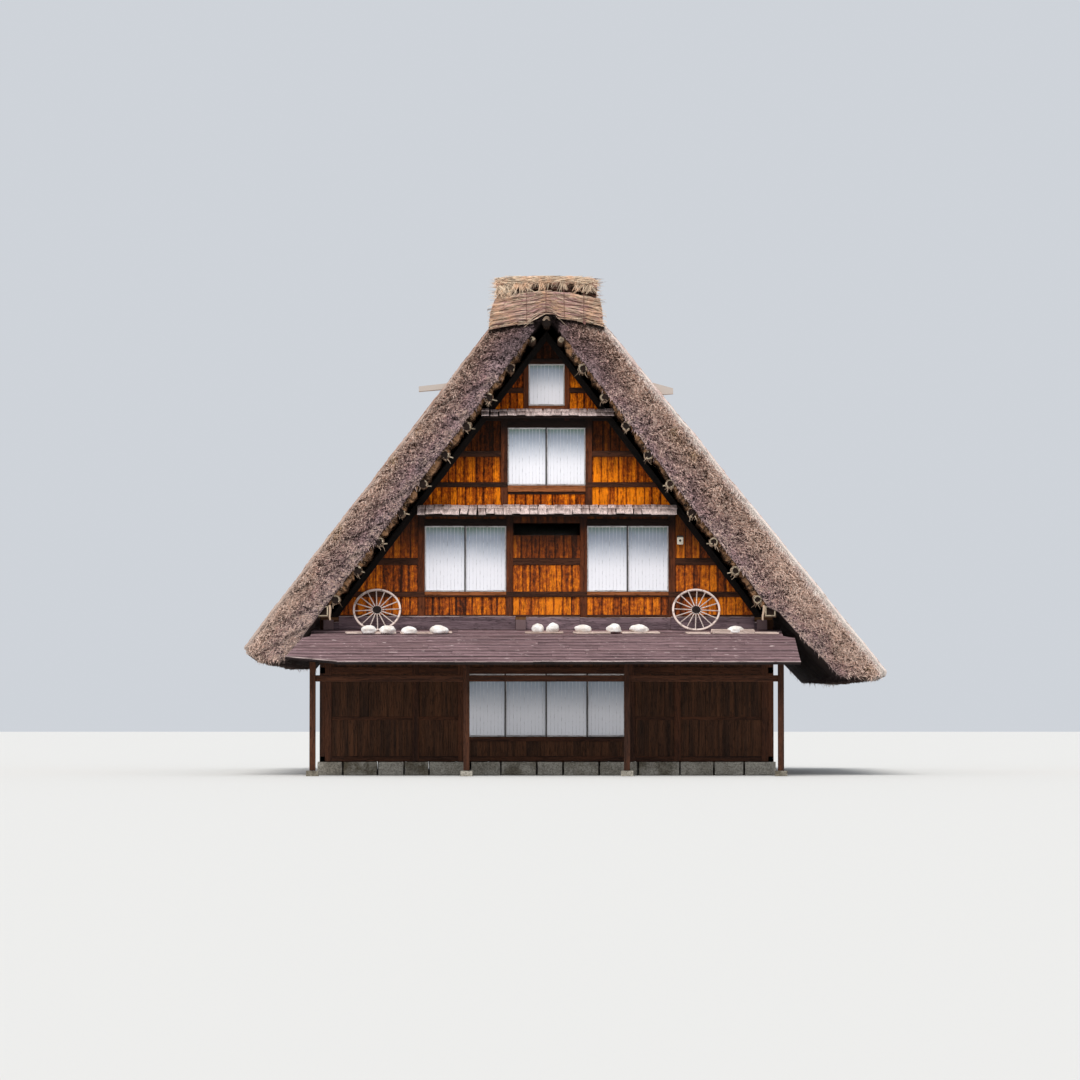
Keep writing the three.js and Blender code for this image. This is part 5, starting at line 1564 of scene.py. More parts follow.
SLOPE_FILL = 0.032
EAVE_BEAM_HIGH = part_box("left_eave_beam")[1].z
for name, side in ROOF_SIDES:
    points, parts, deep, lay = thatch_bed(side)
    faces = whole(parts)
    joints = layer_joints(points, side)
    away = outward(points, faces)
    cut = np.abs(away[:, 1])
    rough = (0.014 * (1 + lattice(points, 0.75, 9)) + 0.010 * (1 + lattice(points, 0.28, 10))
             + 0.010 * (1 + lattice(points, 0.10, 11)) * smooth(deep, 0.0, 0.2) + 0.040 * joints * cut)
    hidden = smooth(points[:, 2], 9.4, 9.8) * (1 - cut)
    rough = rough * (1 - hidden) - SLOPE_FILL * (1 - cut) * (1 - hidden)
    points = points - away * rough[:, None]
    out = side * (points[:, 0] - RIDGE_X)
    # Painted shade: the bed darkens in the hollow under the ridge cap, along the cap's foot, on its
    # underside, on faces that look down, and on the left slope near the verge. It goes into the same dark as
    # the joints.
    hollow = smooth(points[:, 2], 9.66, 9.80) * (1 - smooth(out, 0.25, 0.31))
    shaded = np.maximum(hollow, smooth(points[:, 2] - cap_foot(side * out), -0.08, -0.03) * (out < 1.28))
    shaded = np.maximum(shaded, (1 - smooth(cut, 0.2, 0.7)) * smooth(deep, 0.2, 0.45))
    shaded = np.maximum(shaded, smooth(-away[:, 2], 0.45, 0.85) * 0.9)
    slope_side = 1 - smooth(cut, 0.04, 0.25)
    if side < 0:
        beside_verge = smooth(np.abs(points[:, 1]), VERGE_Y - 0.8, VERGE_Y - 0.2)
        shaded = np.maximum(shaded, (0.14 + 0.30 * beside_verge) * smooth(1 - cut, 0.04, 0.40))
    far_in = smooth(VERGE_Y - np.abs(points[:, 1]), 0.2, 1.4) * slope_side
    deep_look = 0.17 + 1.06 * deep if side < 0 else deep + 0.15 * slope_side
    deep_look = deep_look + 0.30 * far_in
    traits = {"deep": deep_look, "joint": np.maximum(joints * cut, shaded), "lay": lay,
              "cut": smooth(cut, 0.35, 0.75)}
    node = [name + "_thatch"]
    settle(name + "_thatch_bed", kept_inside(surface_of(points, faces, traits)), THATCH, node)
    down = np.array([side * math.cos(PITCH), 0, -math.sin(PITCH)])
    up = np.array([side * math.sin(PITCH), 0, math.cos(PITCH)])
    for part, way, seed in (("front", -1, 1), ("back", 1, 2)):
        beside_beam = np.exp(-((points[:, 2] - EAVE_BEAM_HIGH) / 0.35) ** 2) * smooth(deep, 0.75, 0.92)
        swirl = 0.55 * lattice(points, 0.30, 41) - 0.80 * (1 - smooth(deep, 0.0, 0.16)) + 1.8 * beside_beam
        traits["flow"] = (0.0, 0.30 * way, 0.0) + 0.60 * down + swirl[:, None] * up
        stubs = grown(STALKS, surface_of(points, parts[part], traits), density=1700.0 if way < 0 else 1100.0,
                      length=0.125, radius=0.0102, spread=0.60, seed=seed + side + 4, material=REED)
        settle(f"{name}_thatch_{part}_stubs", kept_inside(stubs), None, node)
        settle(f"{name}_thatch_{part}_mat", eave_mat(side, way), MAT_REED, node)
    traits["flow"] = np.tile(down + 0.08 * up, (len(points), 1))
    above_foot = parts["first"][:-len(parts["first"]) // (ROWS - 1) * 7]
    for part, place, density, length, spread, seed in (
            ("slope_stalks", above_foot, 90.0, 0.09, 0.10, 12),
            ("foot_fringe", parts["foot"], 240.0, 0.040, 0.35, 22)):
        stalks = grown(STALKS, surface_of(points, place, traits), density=density, length=length,
                       radius=0.009, spread=spread, seed=side + seed, material=REED)
        settle(f"{name}_thatch_{part}", kept_inside(stalks), None, node)


# Ridge cap
# Bundles of straw lie across the ridge in courses, sewn down with cords, under a loose top mat. The ends
# of the courses show at the gable as nested arches, and straws hang over them from the edge of the mat.
CAP_LOW, CAP_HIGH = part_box("ridge_cap")
CAP_BROW = [(-1.14, 10.56), (-0.60, 10.66), (-0.04, 10.70), (0.55, 10.66), (1.09, 10.54)]
CAP_LEFT = [(9.80, -1.300), (10.07, -1.285), (10.20, -1.275), (10.35, -1.225), (10.57, -1.135),
            (10.75, -1.115)]
CAP_RIGHT = [(9.80, 1.275), (10.07, 1.262), (10.31, 1.245), (10.53, 1.195), (10.75, 1.085)]
COURSES = 7
CORDS = ((-0.455, 0.02), (-0.015, 0.0), (0.381, 0.01), (0.820, 0.0))


def cap_place(across, level):
    """A point of the cap's end, from -1 to 1 across and 0 to 1 up its courses, as x and z."""
    middle = across * 1.2
    foot = cap_foot(middle)
    z = foot + (height_on(CAP_BROW, middle) - foot) * level
    left = height_on(CAP_LEFT, z)
    right = height_on(CAP_RIGHT, z)
    x = (left + right) / 2 + across * (right - left) / 2
    return x, z


STRAW, tree, shader = finish("straw_courses", 0.95, specular=0.08)
place = object_place(tree)
lay = trait(tree, "lay", "Vector")
combed = noise(tree, stretched(tree, lay, (3.0, 46.0, 14.0)), 1.0, 4, 0.65)
finer = noise(tree, stretched(tree, lay, (9.0, 170.0, 40.0)), 1.0, 3)
broad = noise(tree, stretched(tree, lay, (1.2, 7.0, 2.0)), 1.0, 3)
colour = mix(tree, step(tree, combed, 0.36, 0.62), shade(128, 88, 82), shade(248, 202, 194))
colour = layered(tree, colour, [
    (step(tree, finer, 0.5, 0.70, 0.0, 0.6), (255, 232, 222)),
    (step(tree, finer, 0.30, 0.46, 0.65, 0.0), (98, 66, 58)),
    (step(tree, broad, 0.44, 0.64, 0.0, 0.45), (214, 168, 152))])
gold = times(tree, trait(tree, "gold"), step(tree, combed, 0.40, 0.60, 0.25, 1.0))
colour = layered(tree, colour, [
    (times(tree, gold, 0.90), (255, 216, 176)),
    (trait(tree, "joint"), (42, 25, 18))])
wear(tree, shader, colour, plus(tree, combed, finer), 0.02)

LOOSE_STRAW, tree, shader = finish("loose_straw", 0.95, specular=0.08)
colour = mix(tree, trait(tree, "tone"), shade(60, 36, 24), shade(255, 230, 202))
ruddy = step(tree, noise(tree, object_place(tree), 3.0, 2), 0.45, 0.65, 0.0, 0.5)
colour = mix(tree, ruddy, colour, shade(255, 208, 172))
wear(tree, shader, colour)

CORD, tree, shader = finish("sewing_cord", 0.9)
shader.inputs["Base Color"].default_value = shade(126, 90, 82)

ACROSS, LEVELS = 110, 90
places = np.concatenate([[0.0, 0.04, 0.10, 0.20], np.linspace(0.4, 14.34, 40), [14.54, 14.64, 14.70, 14.74]])
s, t, v, parts = shell(ACROSS, LEVELS, len(places), True)
across = -1 + 2 * s / (ACROSS - 1)
level = t / (LEVELS - 1)
x, z = cap_place(across, level)
y = CAP_LOW.y + 0.05 + places[v] / places[-1] * (CAP_HIGH.y - CAP_LOW.y - 0.10)
points = columns(RIDGE_X + x, y, z)
outer_part = smooth(np.abs(across), 0.22, 0.85)
lump = lattice(columns(points[:, 0] * 0.8, y * 0.3, z * 3.0), 0.42, 4)
course = level * COURSES + 0.28 * lump
roll = np.abs(np.sin(course * math.pi)) ** 0.5
away = outward(points, whole(parts))
at_end = np.abs(away[:, 1])
straws = lattice(columns(points[:, 0] * 0.25, y * 0.25, z * 3.2), 0.055, 8)
bundles = lattice(columns(points[:, 0] * 0.5, y * 0.5, z * 2.0), 0.16, 9)
sink = 0.050 * (1 - roll) + 0.008 * (1 + straws) + (0.010 + 0.018 * outer_part) * (1 + bundles)
points = points - away * sink[:, None]
seen = smooth(lattice(points, 0.6, 5), -1.1, 0.1) * (0.40 + 0.60 * outer_part)
# Painted shade in the grooves between the rolled courses, and a painted shadow line just above the cap's
# bottom course.
joint = (1 - smooth(roll, 0.22, 0.66)) * np.clip(at_end + 0.4, 0, 1) * seen
lip = smooth(level, 0.045, 0.070) * (1 - smooth(level, 0.095, 0.12)) * at_end
gold = smooth(np.abs(across), 0.45, 0.95) * smooth(lattice(points, 0.20, 12), -0.7, 0.2)
gold = np.maximum(gold * 0.9, (1 - smooth(level, 0.03, 0.05)) * 0.5)
x = points[:, 0]
lay = columns(x * at_end + y * (1 - at_end), level * 0.9, y * at_end + x * (1 - at_end))
traits = {"joint": np.maximum(joint, lip), "gold": gold, "lay": lay}
settle("ridge_cap_courses", surface_of(points, whole(parts), traits), STRAW, ["ridge_cap"])

MAT_FOOT, MAT_HALF = 10.72, 1.15
MAT_TOP = [(-1.122, 10.985), (-0.6, 11.026), (0, 11.034), (0.6, 11.022), (1.137, 10.975)]
END_STRAWS, SIDE_STRAWS, TUFTS, TOP_STRAWS = 520, 150, 84, 420
straw = Batch(131)
chance = straw.chance


def bent_straw(start, way, length, sag, thick=0.009, tone=None):
    """One straw from its root, along a direction, drooping at its far end and kept inside the cap's box."""
    share = np.linspace(0, 1, 3)[:, None]
    path = np.asarray(start) + share * np.asarray(way) * length + share ** 2 * np.array([0, 0, -sag * length])
    keep = 0.012
    path = np.clip(path, np.array(CAP_LOW) + keep, np.array(CAP_HIGH) - keep)
    if start[2] > MAT_FOOT:
        path[:, 0] = np.clip(path[:, 0], RIDGE_X - MAT_HALF, RIDGE_X + MAT_HALF)
    if np.linalg.norm(np.diff(path, axis=0), axis=1).min() > 0.002:
        straw.tube(path, np.linspace(thick, thick * 0.5, 3), 3, tone)


for way, end in ((-1, CAP_LOW.y), (1, CAP_HIGH.y)):
    for index in range(END_STRAWS):
        place = chance.uniform(-0.97, 0.97)
        rank = chance.uniform(0.0, 1.0)
        x, z = cap_place(place, rank)
        x2, z2 = cap_place(place + 0.05, rank)
        run = np.array([x2 - x, 0, z2 - z + chance.normal(0, 0.10) * 0.05]) / 0.06
        back = 0.045 + 0.05 * (1 - abs(math.sin(rank * COURSES * math.pi)))
        bent_straw((RIDGE_X + x, end - way * back, z), run * chance.choice((-1, 1)) + (0, way * 0.08, 0),
                   chance.uniform(0.10, 0.30), chance.uniform(0, 0.12), 0.0055)
    for index in range(SIDE_STRAWS):
        side = chance.choice((-1, 1))
        rank = chance.uniform(0.0, 1.0)
        x, z = cap_place(side * 0.97, rank)
        bent_straw((RIDGE_X + x - side * 0.05, end - way * chance.uniform(0.04, 0.30), z),
                   (side * chance.uniform(0.3, 1.0), way * chance.uniform(-0.4, 0.2),
                    chance.uniform(-0.3, 0.3)),
                   chance.uniform(0.05, 0.13), 0.4, 0.006, 0.5 + 0.5 * chance.random())
    for tuft in range(TUFTS):
        middle = chance.uniform(-1.10, 1.06) if tuft % 3 else chance.uniform(-1.10, -0.55)
        reach = 0.30 if middle < -0.5 else 0.19
        lean = chance.normal(-0.10, 0.55)
        for index in range(chance.integers(3, 9)):
            x = middle + chance.normal(0, 0.022)
            root = 10.910 - 0.09 * (x / 1.1) ** 2 - chance.uniform(0.0, 0.07)
            bent_straw((RIDGE_X + x, end - way * chance.uniform(0.05, 0.09), root),
                       (lean + chance.normal(0, 0.15), way * 0.06, -1),
                       chance.uniform(0.06, reach), 0.0, 0.007, chance.random() ** 0.7)
    for index in range(TOP_STRAWS):
        x = chance.uniform(-1.10, 1.08)
        top = height_on(MAT_TOP, x) - 0.012
        bent_straw((RIDGE_X + x, end - way * chance.uniform(0.04, 0.10), top - chance.uniform(0.0, 0.13)),
                   (chance.choice((-1, 1)), way * 0.1, chance.normal(0, 0.16)),
                   chance.uniform(0.08, 0.30), 0.05, 0.008, chance.random() ** 0.6)
straw.made("ridge_cap_loose_straw", LOOSE_STRAW, "straw", ["ridge_cap"])

cords = Batch(133)
for way, end in ((-1, CAP_LOW.y), (1, CAP_HIGH.y)):
    for x, lean in CORDS:
        high = height_on(CAP_BROW, x) + 0.04
        low = cap_foot(x) + 0.02
        share = np.linspace(0, 1, 24)
        bulge = end - way * (0.020 + 0.012 * (1 - np.abs(np.sin(share * 6 * math.pi))))
        path = columns(RIDGE_X + x + lean * share, bulge, high + (low - high) * share)
        cords.tube(path, 0.007, 5)
    x, lean = CORDS[-1]
    low = cap_foot(x) - 0.005
    for turn in range(6):
        angle = chance.uniform(0, 6.28)
        tip = (RIDGE_X + x + 0.05 * math.cos(angle), end - way * 0.03, low + 0.05 * math.sin(angle))
        cords.tube([(RIDGE_X + x, end - way * 0.04, low), tip], 0.020, 6)
cords.made("ridge_cap_cords", CORD, "straw", ["ridge_cap"])

MAT_ROWS, MAT_LAYERS, MAT_STEPS = 70, 12, 70
s, t, v, parts = shell(MAT_ROWS, MAT_LAYERS, MAT_STEPS, True)
across = -1 + 2 * s / (MAT_ROWS - 1)
x = 1.13 * across
top = height_on(MAT_TOP, x) - 0.05 * smooth(np.abs(across), 0.90, 1.0)
foot = height_on(CAP_BROW, x) + 0.02
share = t / (MAT_LAYERS - 1)
round_end = 0.06 * np.sqrt(np.clip(1 - (1 - 2 * np.abs(share - 0.5)) ** 2, 0, 1))
y = (CAP_HIGH.y - 0.05 - round_end) * (-1 + 2 * v / (MAT_STEPS - 1))
points = columns(RIDGE_X + x, y, foot + (top - foot) * share)
away = outward(points, whole(parts))
# Painted shadow: a dark band under the mat's lower edge.
under = 1 - smooth(share + 0.16 * lattice(points * (1, 0, 0), 0.13, 17), 0.34, 0.52)
sink = 0.012 * (1 + lattice(points, 0.16, 3)) + 0.012 * (1 + lattice(points * (0.3, 1, 2), 0.05, 6)) - 0.014
sink = sink + 0.11 * under * np.abs(away[:, 1]) + 0.05 * under * np.abs(away[:, 0])
points = points - away * sink[:, None]
traits = {"joint": under * np.clip(0.80 + 0.4 * lattice(points, 0.06, 18), 0, 1),
          "gold": 0.7 + 0.3 * lattice(points, 0.3, 19), "lay": points[:, (0, 2, 1)]}
settle("ridge_cap_mat", kept_inside(surface_of(points, whole(parts), traits)), STRAW, ["ridge_cap"])
traits["flow"] = np.sign(points[:, :1] - RIDGE_X) * (1, 0, 0) + (0, 0, 0.05)
lying = grown(STALKS, surface_of(points, parts["last"], traits), density=110.0, length=0.18, radius=0.009,
              spread=0.30, seed=31, material=LOOSE_STRAW)
settle("ridge_cap_mat_straws", kept_inside(lying), None, ["ridge_cap"])


# Lean-to roofs
# Long weathered boards lap down each lean-to in courses. A flatter upper part reaches out from the gable,
# a steeper lower part ends in a dark eave board, and a skirt of boards closes the top. A pale strip along
# the top of the eave and of each skirt board is a painted highlight.
SHELF_OUT, BEND_OUT, EAVE_OUT = 0.98, 1.40, 2.55
LEAN_HEIGHTS = [(0.0, 3.265), (BEND_OUT, 3.025), (EAVE_OUT, 2.500)]
SHELF_HALF = 5.20
BEND_LEFT, BEND_RIGHT = 5.37, 5.44
EAVE_LEFT, EAVE_RIGHT = 5.68, 5.50
CORNER_LEFT = 4.55
SHELF_COURSES = ((0.03, 0.50), (0.48, 0.99))
BEND_COURSE = (0.97, 1.41)
STEEP_COURSES = 8
EAVE_CORNER = {FRONT: 2.320, BACK: EAVE_OUT}
LEAN_BOARDS, tree, shader = finish("lean_to_boards", 0.78, specular=0.3)
streaks, fibres, checks = grained(tree, 30.0)
colour = mix(tree, step(tree, streaks, 0.34, 0.66), shade(88, 66, 70), shade(150, 120, 124))
colour = layered(tree, colour, [
    (times(tree, trait(tree, "tone"), 0.45), (126, 98, 98)),
    (step(tree, fibres, 0.56, 0.76, 0.0, 0.5), (176, 150, 152)),
    (times(tree, checks, 0.5), (48, 32, 34))])
fleck = noise(tree, stretched(tree, object_place(tree), (5.0, 14.0, 14.0)), 1.0, 4, 0.7)
colour = mix(tree, step(tree, fleck, 0.61, 0.69), colour, shade(232, 210, 208))
# Painted shadow at the top of each board, where the course above laps over it, and a painted highlight along
# its lower edge.
down_board = axes(tree, trait(tree, "spot", "Vector"))[1]
colour = layered(tree, colour, [
    (step(tree, down_board, 0.82, 0.96, 0.0, 0.6), (168, 142, 144)),
    (step(tree, down_board, 0.0, 0.16, 0.85, 0.0), (40, 26, 28))])
wear(tree, shader, colour, minus(tree, fibres, checks), 0.005)
EAVE_BOARDS = timber_finish("eave_boards", (14, 10, 10), (40, 28, 27), (70, 52, 50), 30.0)
SKIRT_WOOD = timber_finish("skirt_wood", (88, 70, 76), (146, 122, 128), (180, 160, 164), 30.0)
HIGHLIGHT_EDGE = timber_finish("pale_edge", (120, 100, 98), (212, 192, 188), (232, 216, 212), 30.0)


def lean_top(out):
    return height_on(LEAN_HEIGHTS, out)


def line_cut(start, end, way):
    """The cut along a line between two points that keeps the side towards the middle of the house."""
    a = (end[1] - start[1]) * way
    b = (start[0] - end[0]) * way
    return a, b, a * start[0] + b * start[1]


def lean_cuts(side, upper):
    """Lines that trim the boards of a lean-to to its plan, in distance along the wall and out from it."""
    if upper:
        return [line_cut((-SHELF_HALF, SHELF_OUT), (-BEND_LEFT, BEND_OUT), -1),
                line_cut((SHELF_HALF, SHELF_OUT), (BEND_RIGHT, BEND_OUT), 1),
                (-1, 0, BEND_LEFT), (1, 0, BEND_RIGHT)]
    corner = EAVE_CORNER[side]
    cuts = [line_cut((-BEND_LEFT, BEND_OUT), (-EAVE_LEFT, corner), -1),
            line_cut((BEND_RIGHT, BEND_OUT), (EAVE_RIGHT, EAVE_OUT), 1)]
    if corner < EAVE_OUT:
        cuts.append(line_cut((-EAVE_LEFT, corner), (-CORNER_LEFT, EAVE_OUT), -1))
    return cuts


def lean_course(batch, side, near, far, cuts, half, thick=0.018):
    """One course of boards, from one distance out to another, lapped over the next."""
    at = -half[0]
    while at < half[1] - 0.01:
        reach = min(half[1], at + batch.chance.uniform(1.9, 3.7))
        if half[1] - reach < 0.8:
            reach = half[1]
        outline = trimmed(oblong(at + BOARD_GAP, reach - BOARD_GAP, near, far), cuts)
        at = reach
        if len(outline) < 3 or area_of(outline) < 0.01:
            continue
        lift = batch.chance.uniform(-0.003, 0.003)
        face = []
        spot = []
        for u, out in outline:
            share = (out - near) / (far - near)
            z = lean_top(min(out, EAVE_OUT)) - 0.030 + 0.024 * share + lift
            face.append((RIDGE_X + u, facing(side) * (HALF_LENGTH + out), z))
            spot.append((u, share, 0))
        batch.member(face, (0, 0, -thick), (1, 0, 0), spot=spot)


def lean_face(side, outline, lift):
    """An outline on the plan of a lean-to, laid on its slope and lifted off it."""
    return [(RIDGE_X + u, facing(side) * (HALF_LENGTH + out), lean_top(out) + lift) for u, out in outline]


SKIRT_BOARDS = ((-4.80, -4.62, 3.40), (-4.62, -0.69, 3.530), (-0.69, -0.46, 3.43), (-0.46, 0.74, 3.512),
                (0.74, 2.76, 3.500), (2.76, 4.62, 3.516), (4.62, 4.80, 3.40))
SKIRT_LOW, SKIRT_EDGE, SKIRT_GAP = 3.235, 0.012, 0.003
for side, seed in ((FRONT, 141), (BACK, 151)):
    upper, lower = lean_cuts(side, True), lean_cuts(side, False)
    clear_of_edge = lower + [(0, 1, EAVE_OUT - 0.001)]
    courses = Batch(seed)
    for near, far in SHELF_COURSES:
        lean_course(courses, side, near, far, [], (SHELF_HALF, SHELF_HALF))
    lean_course(courses, side, *BEND_COURSE, upper, (BEND_LEFT, BEND_RIGHT))
    steps = np.linspace(BEND_OUT, EAVE_OUT - 0.005, STEEP_COURSES + 1)
    for near, far in zip(steps, steps[1:]):
        lean_course(courses, side, near, far + 0.012, clear_of_edge, (EAVE_LEFT, EAVE_RIGHT))
    skirt = Batch(seed + 3)
    for left, right, high in SKIRT_BOARDS:
        outline = oblong(left + SKIRT_GAP, right - SKIRT_GAP, SKIRT_LOW, high - SKIRT_EDGE)
        spot = [(u, 0.5, 0) for u, z in outline]
        plank(skirt, wall_line(side), outline, -0.026, -0.004, True, spot=spot)
    courses.made(side + "_lean_to_courses", LEAN_BOARDS, "old_wood", [side + "_lean_to_roof"], 0.003)
    skirt.made(side + "_lean_to_skirt", SKIRT_WOOD, "old_wood", [side + "_lean_to_roof"], 0.003)
    # Pale strips along the tops of the skirt boards and the eave: painted highlights.
    edges = Batch(seed + 1)
    for left, right, high in SKIRT_BOARDS:
        outline = oblong(left + SKIRT_GAP, right - SKIRT_GAP, high - SKIRT_EDGE, high)
        plank(edges, wall_line(side), outline, -0.030, -0.002, True)
    under = Batch(seed + 2)
    eave = [(-EAVE_LEFT, EAVE_CORNER[side])]
    eave += [(u, EAVE_OUT) for u in (-CORNER_LEFT, -2.4, -0.3, 1.7, 3.6, EAVE_RIGHT)]
    for index, (start, end) in enumerate(zip(eave, eave[1:])):
        dip = 0.012 * math.sin(index * 2.3)
        outline = [start, end, (end[0], end[1] - 0.028), (start[0], start[1] - 0.028)]
        for batch, high, thick in ((under, -0.012, 0.056), (edges, -0.001, 0.011)):
            face = lean_face(side, outline, high - abs(dip))
            batch.member(face, (0, 0, -thick), (1, 0, 0), 0.35 + 0.5 * (index > 3))
    for u0, u1, near, far, cuts in ((-SHELF_HALF, SHELF_HALF, 0.0, SHELF_OUT, []),
                                    (-BEND_LEFT, BEND_RIGHT, SHELF_OUT, BEND_OUT, upper),
                                    (-EAVE_LEFT, EAVE_RIGHT, BEND_OUT, EAVE_OUT - 0.03, lower)):
        face = lean_face(side, trimmed(oblong(u0, u1, near, far), cuts), -0.052)
        under.member(face, (0, 0, -0.014), (1, 0, 0))
    edges.made(side + "_lean_to_pale_edges", HIGHLIGHT_EDGE, "old_wood", [side + "_lean_to_roof"])
    under.made(side + "_lean_to_eave_boards", EAVE_BOARDS, "old_wood", [side + "_lean_to_roof"])


# Lean-to frames
# Four squared posts stand on flat stones under each lean-to. They carry the eave beam, and a lighter rail
# ties them below it.
LEAN_POSTS = (-5.105, -1.750, 1.750, 5.105)
POST_HALF, PAD_HALF, RAIL_HALF = 0.065, 0.15, 0.025
PAD_TOP = 0.12
EAVE_BEAM = {"half": 5.32, "low": 2.556, "high": 2.716}
TIE_RAIL = {"half": 5.04, "low": 2.06, "high": 2.20}
for side, seed in ((FRONT, 161), (BACK, 165)):
    line = wall_line(side)
    frame_timber = Batch(seed)
    pads = Batch(seed + 1)
    thick = (-KEN - POST_HALF, -KEN + POST_HALF)
    thin = (-KEN - RAIL_HALF, -KEN + RAIL_HALF)
    for u in LEAN_POSTS:
        bar(frame_timber, line, u - POST_HALF, u + POST_HALF, PAD_TOP, EAVE_BEAM["low"], *thick)
        x, y, z = line(u, -KEN, 0.0)
        rough_blocks(pads, (x - PAD_HALF, y - PAD_HALF, 0), (x + PAD_HALF, y + PAD_HALF, PAD_TOP), "x", 0.5)
    for level, depths in ((EAVE_BEAM, thick), (TIE_RAIL, thin)):
        bar(frame_timber, line, -level["half"], level["half"], level["low"], level["high"], *depths)
    node = [side + "_lean_to_frame"]
    frame_timber.made(side + "_lean_to_timbers", POST_WOOD, "old_wood", node, 0.008)
    pads.made(side + "_lean_to_post_stones", STONE, "stone", node)


# Slope ledges
# A short pale board is set into each slope right behind the front verge, and sticks out beside it.
LEDGE_WOOD = timber_finish("ledge_wood", (236, 220, 208), (254, 246, 238), (255, 250, 244), 30.0)
for name in ("left_slope_ledge", "right_slope_ledge"):
    coat(name, LEDGE_WOOD)


# Cart wheels
# An old wooden cart wheel leans on the gable at each side. Sixteen tapered spokes join a worn pale rim to a
# dark turned hub with a metal pin.
WHEEL = {"radius": 0.535, "rim": 0.042, "thick": 0.045, "hub": 0.100, "lean": 28.7}
WHEEL_WOOD = timber_finish("wheel_wood", (206, 184, 174), (246, 228, 220), (255, 246, 240), 50.0)
HUB_WOOD = timber_finish("hub_wood", (14, 8, 7), (34, 22, 20), (64, 48, 44), 60.0)
SPOKES, start, end = group("spokes", [GEOMETRY, ("Count", "Int"), ("Inner", "Float"), ("Outer", "Float"),
                                      ("Root", "Float"), ("Tip", "Float"), MATERIAL], [GEOMETRY], "Geometry")
ring = {"Vertices": start["Count"], "Radius": start["Inner"]}
ring = add(SPOKES, "GeometryNodeMeshCircle", ring).outputs[0]
aim = add(SPOKES, "FunctionNodeAlignRotationToVector", {"Vector": position(SPOKES)}, axis="Z").outputs[0]
cone = {"Vertices": 8, "Radius Top": start["Tip"], "Radius Bottom": start["Root"],
        "Depth": minus(SPOKES, start["Outer"], start["Inner"])}
spoke = add(SPOKES, "GeometryNodeMeshCone", cone, fill_type="NGON").outputs["Mesh"]
real = copied(SPOKES, ring, spoke, chance_number(SPOKES, 5), rotation=aim)
ended(SPOKES, keep_value(SPOKES, real, "grain", position(SPOKES), kind="FLOAT_VECTOR"), start, end)


def turned_ring(batch, section, steps, tone=None):
    """A part turned on the wheel's axle, from a closed section of radius and height."""
    count = len(section)
    angles = np.arange(steps) * 2 * math.pi / steps
    points = np.array([(r * math.cos(a), r * math.sin(a), h) for a in angles for r, h in section])
    faces = []
    for index in range(steps):
        for corner in range(count):
            after = (corner + 1) % count
            here, there = index * count, (index + 1) % steps * count
            faces.append([here + corner, there + corner, there + after, here + after])
    round_axle = np.repeat(angles, count) * section[0][0]
    grain = columns(points[:, 2], round_axle, np.full(len(points), 0.5))
    batch.put(points, faces, grain, tone)


for name in ("left_cart_wheel", "right_cart_wheel"):
    low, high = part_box(name)
    centre = (low + high) / 2
    turn = Matrix.Translation(centre) @ Matrix.Rotation(math.radians(90 - WHEEL["lean"]), 4, "X")
    turn = turn @ Matrix.Rotation(math.radians(3.0 if name.startswith("left") else -3.0), 4, "Z")
    rim = Batch(171)
    outer, half = WHEEL["radius"], WHEEL["thick"] / 2
    inner = outer - WHEEL["rim"]
    turned_ring(rim, [(inner, -half), (outer - 0.005, -half), (outer, -half + 0.006), (outer, half - 0.006),
                      (outer - 0.005, half), (inner, half)], 64)
    hub = Batch(172)
    boss = WHEEL["hub"]
    turned_ring(hub, [(0.03, -0.03), (boss, -0.03), (boss, 0.010), (boss * 0.75, 0.028), (0.03, 0.028)], 24)
    pin = Batch(173)
    pin.tube([(0, 0, -0.031), (0, 0, 0.030)], 0.031, 12, tone=0.2)
    pin.tube([(0, 0, 0.025), (0, 0, 0.034)], 0.014, 8, tone=1.0)
    spokes = grown(SPOKES, count=16, inner=boss - 0.01, outer=inner + 0.012, root=0.015, tip=0.011,
                   material=WHEEL_WOOD)
    pieces = [rim.made(name + "_rim", WHEEL_WOOD, "pale_wood", [name]),
              hub.made(name + "_hub", HUB_WOOD, "old_wood", [name]),
              pin.made(name + "_pin", HUB_WOOD, "pale_wood", [name]),
              settle(name + "_spokes", spokes, None, [name])]
    for piece in pieces:
        piece.data.transform(turn)


# Weighted boards
# Three sets of loose boards lie on the upper lean-to, each held down by smooth river stones.
RIVER_STONE, tree, shader = finish("river_stone", 0.8)
place = object_place(tree)
cloudy = step(tree, noise(tree, place, 7.0, 4), 0.35, 0.7)
specks = step(tree, noise(tree, place, 30.0, 3), 0.58, 0.7, 0.0, 0.35)
colour = mix(tree, cloudy, shade(230, 221, 212), shade(255, 254, 252))
colour = mix(tree, specks, colour, shade(184, 168, 156))
wear(tree, shader, colour, noise(tree, place, 18.0, 4), 0.01)
LOOSE_BOARDS = timber_finish("loose_boards", (176, 150, 138), (240, 218, 206), (252, 238, 230), 30.0)
BOARD_OUT = 0.700
BOARD_HALF = 0.085
STONE_OUT = {"left": (0.820, 0.004), "middle": (0.700, 0.020), "right": (0.760, 0.012)}
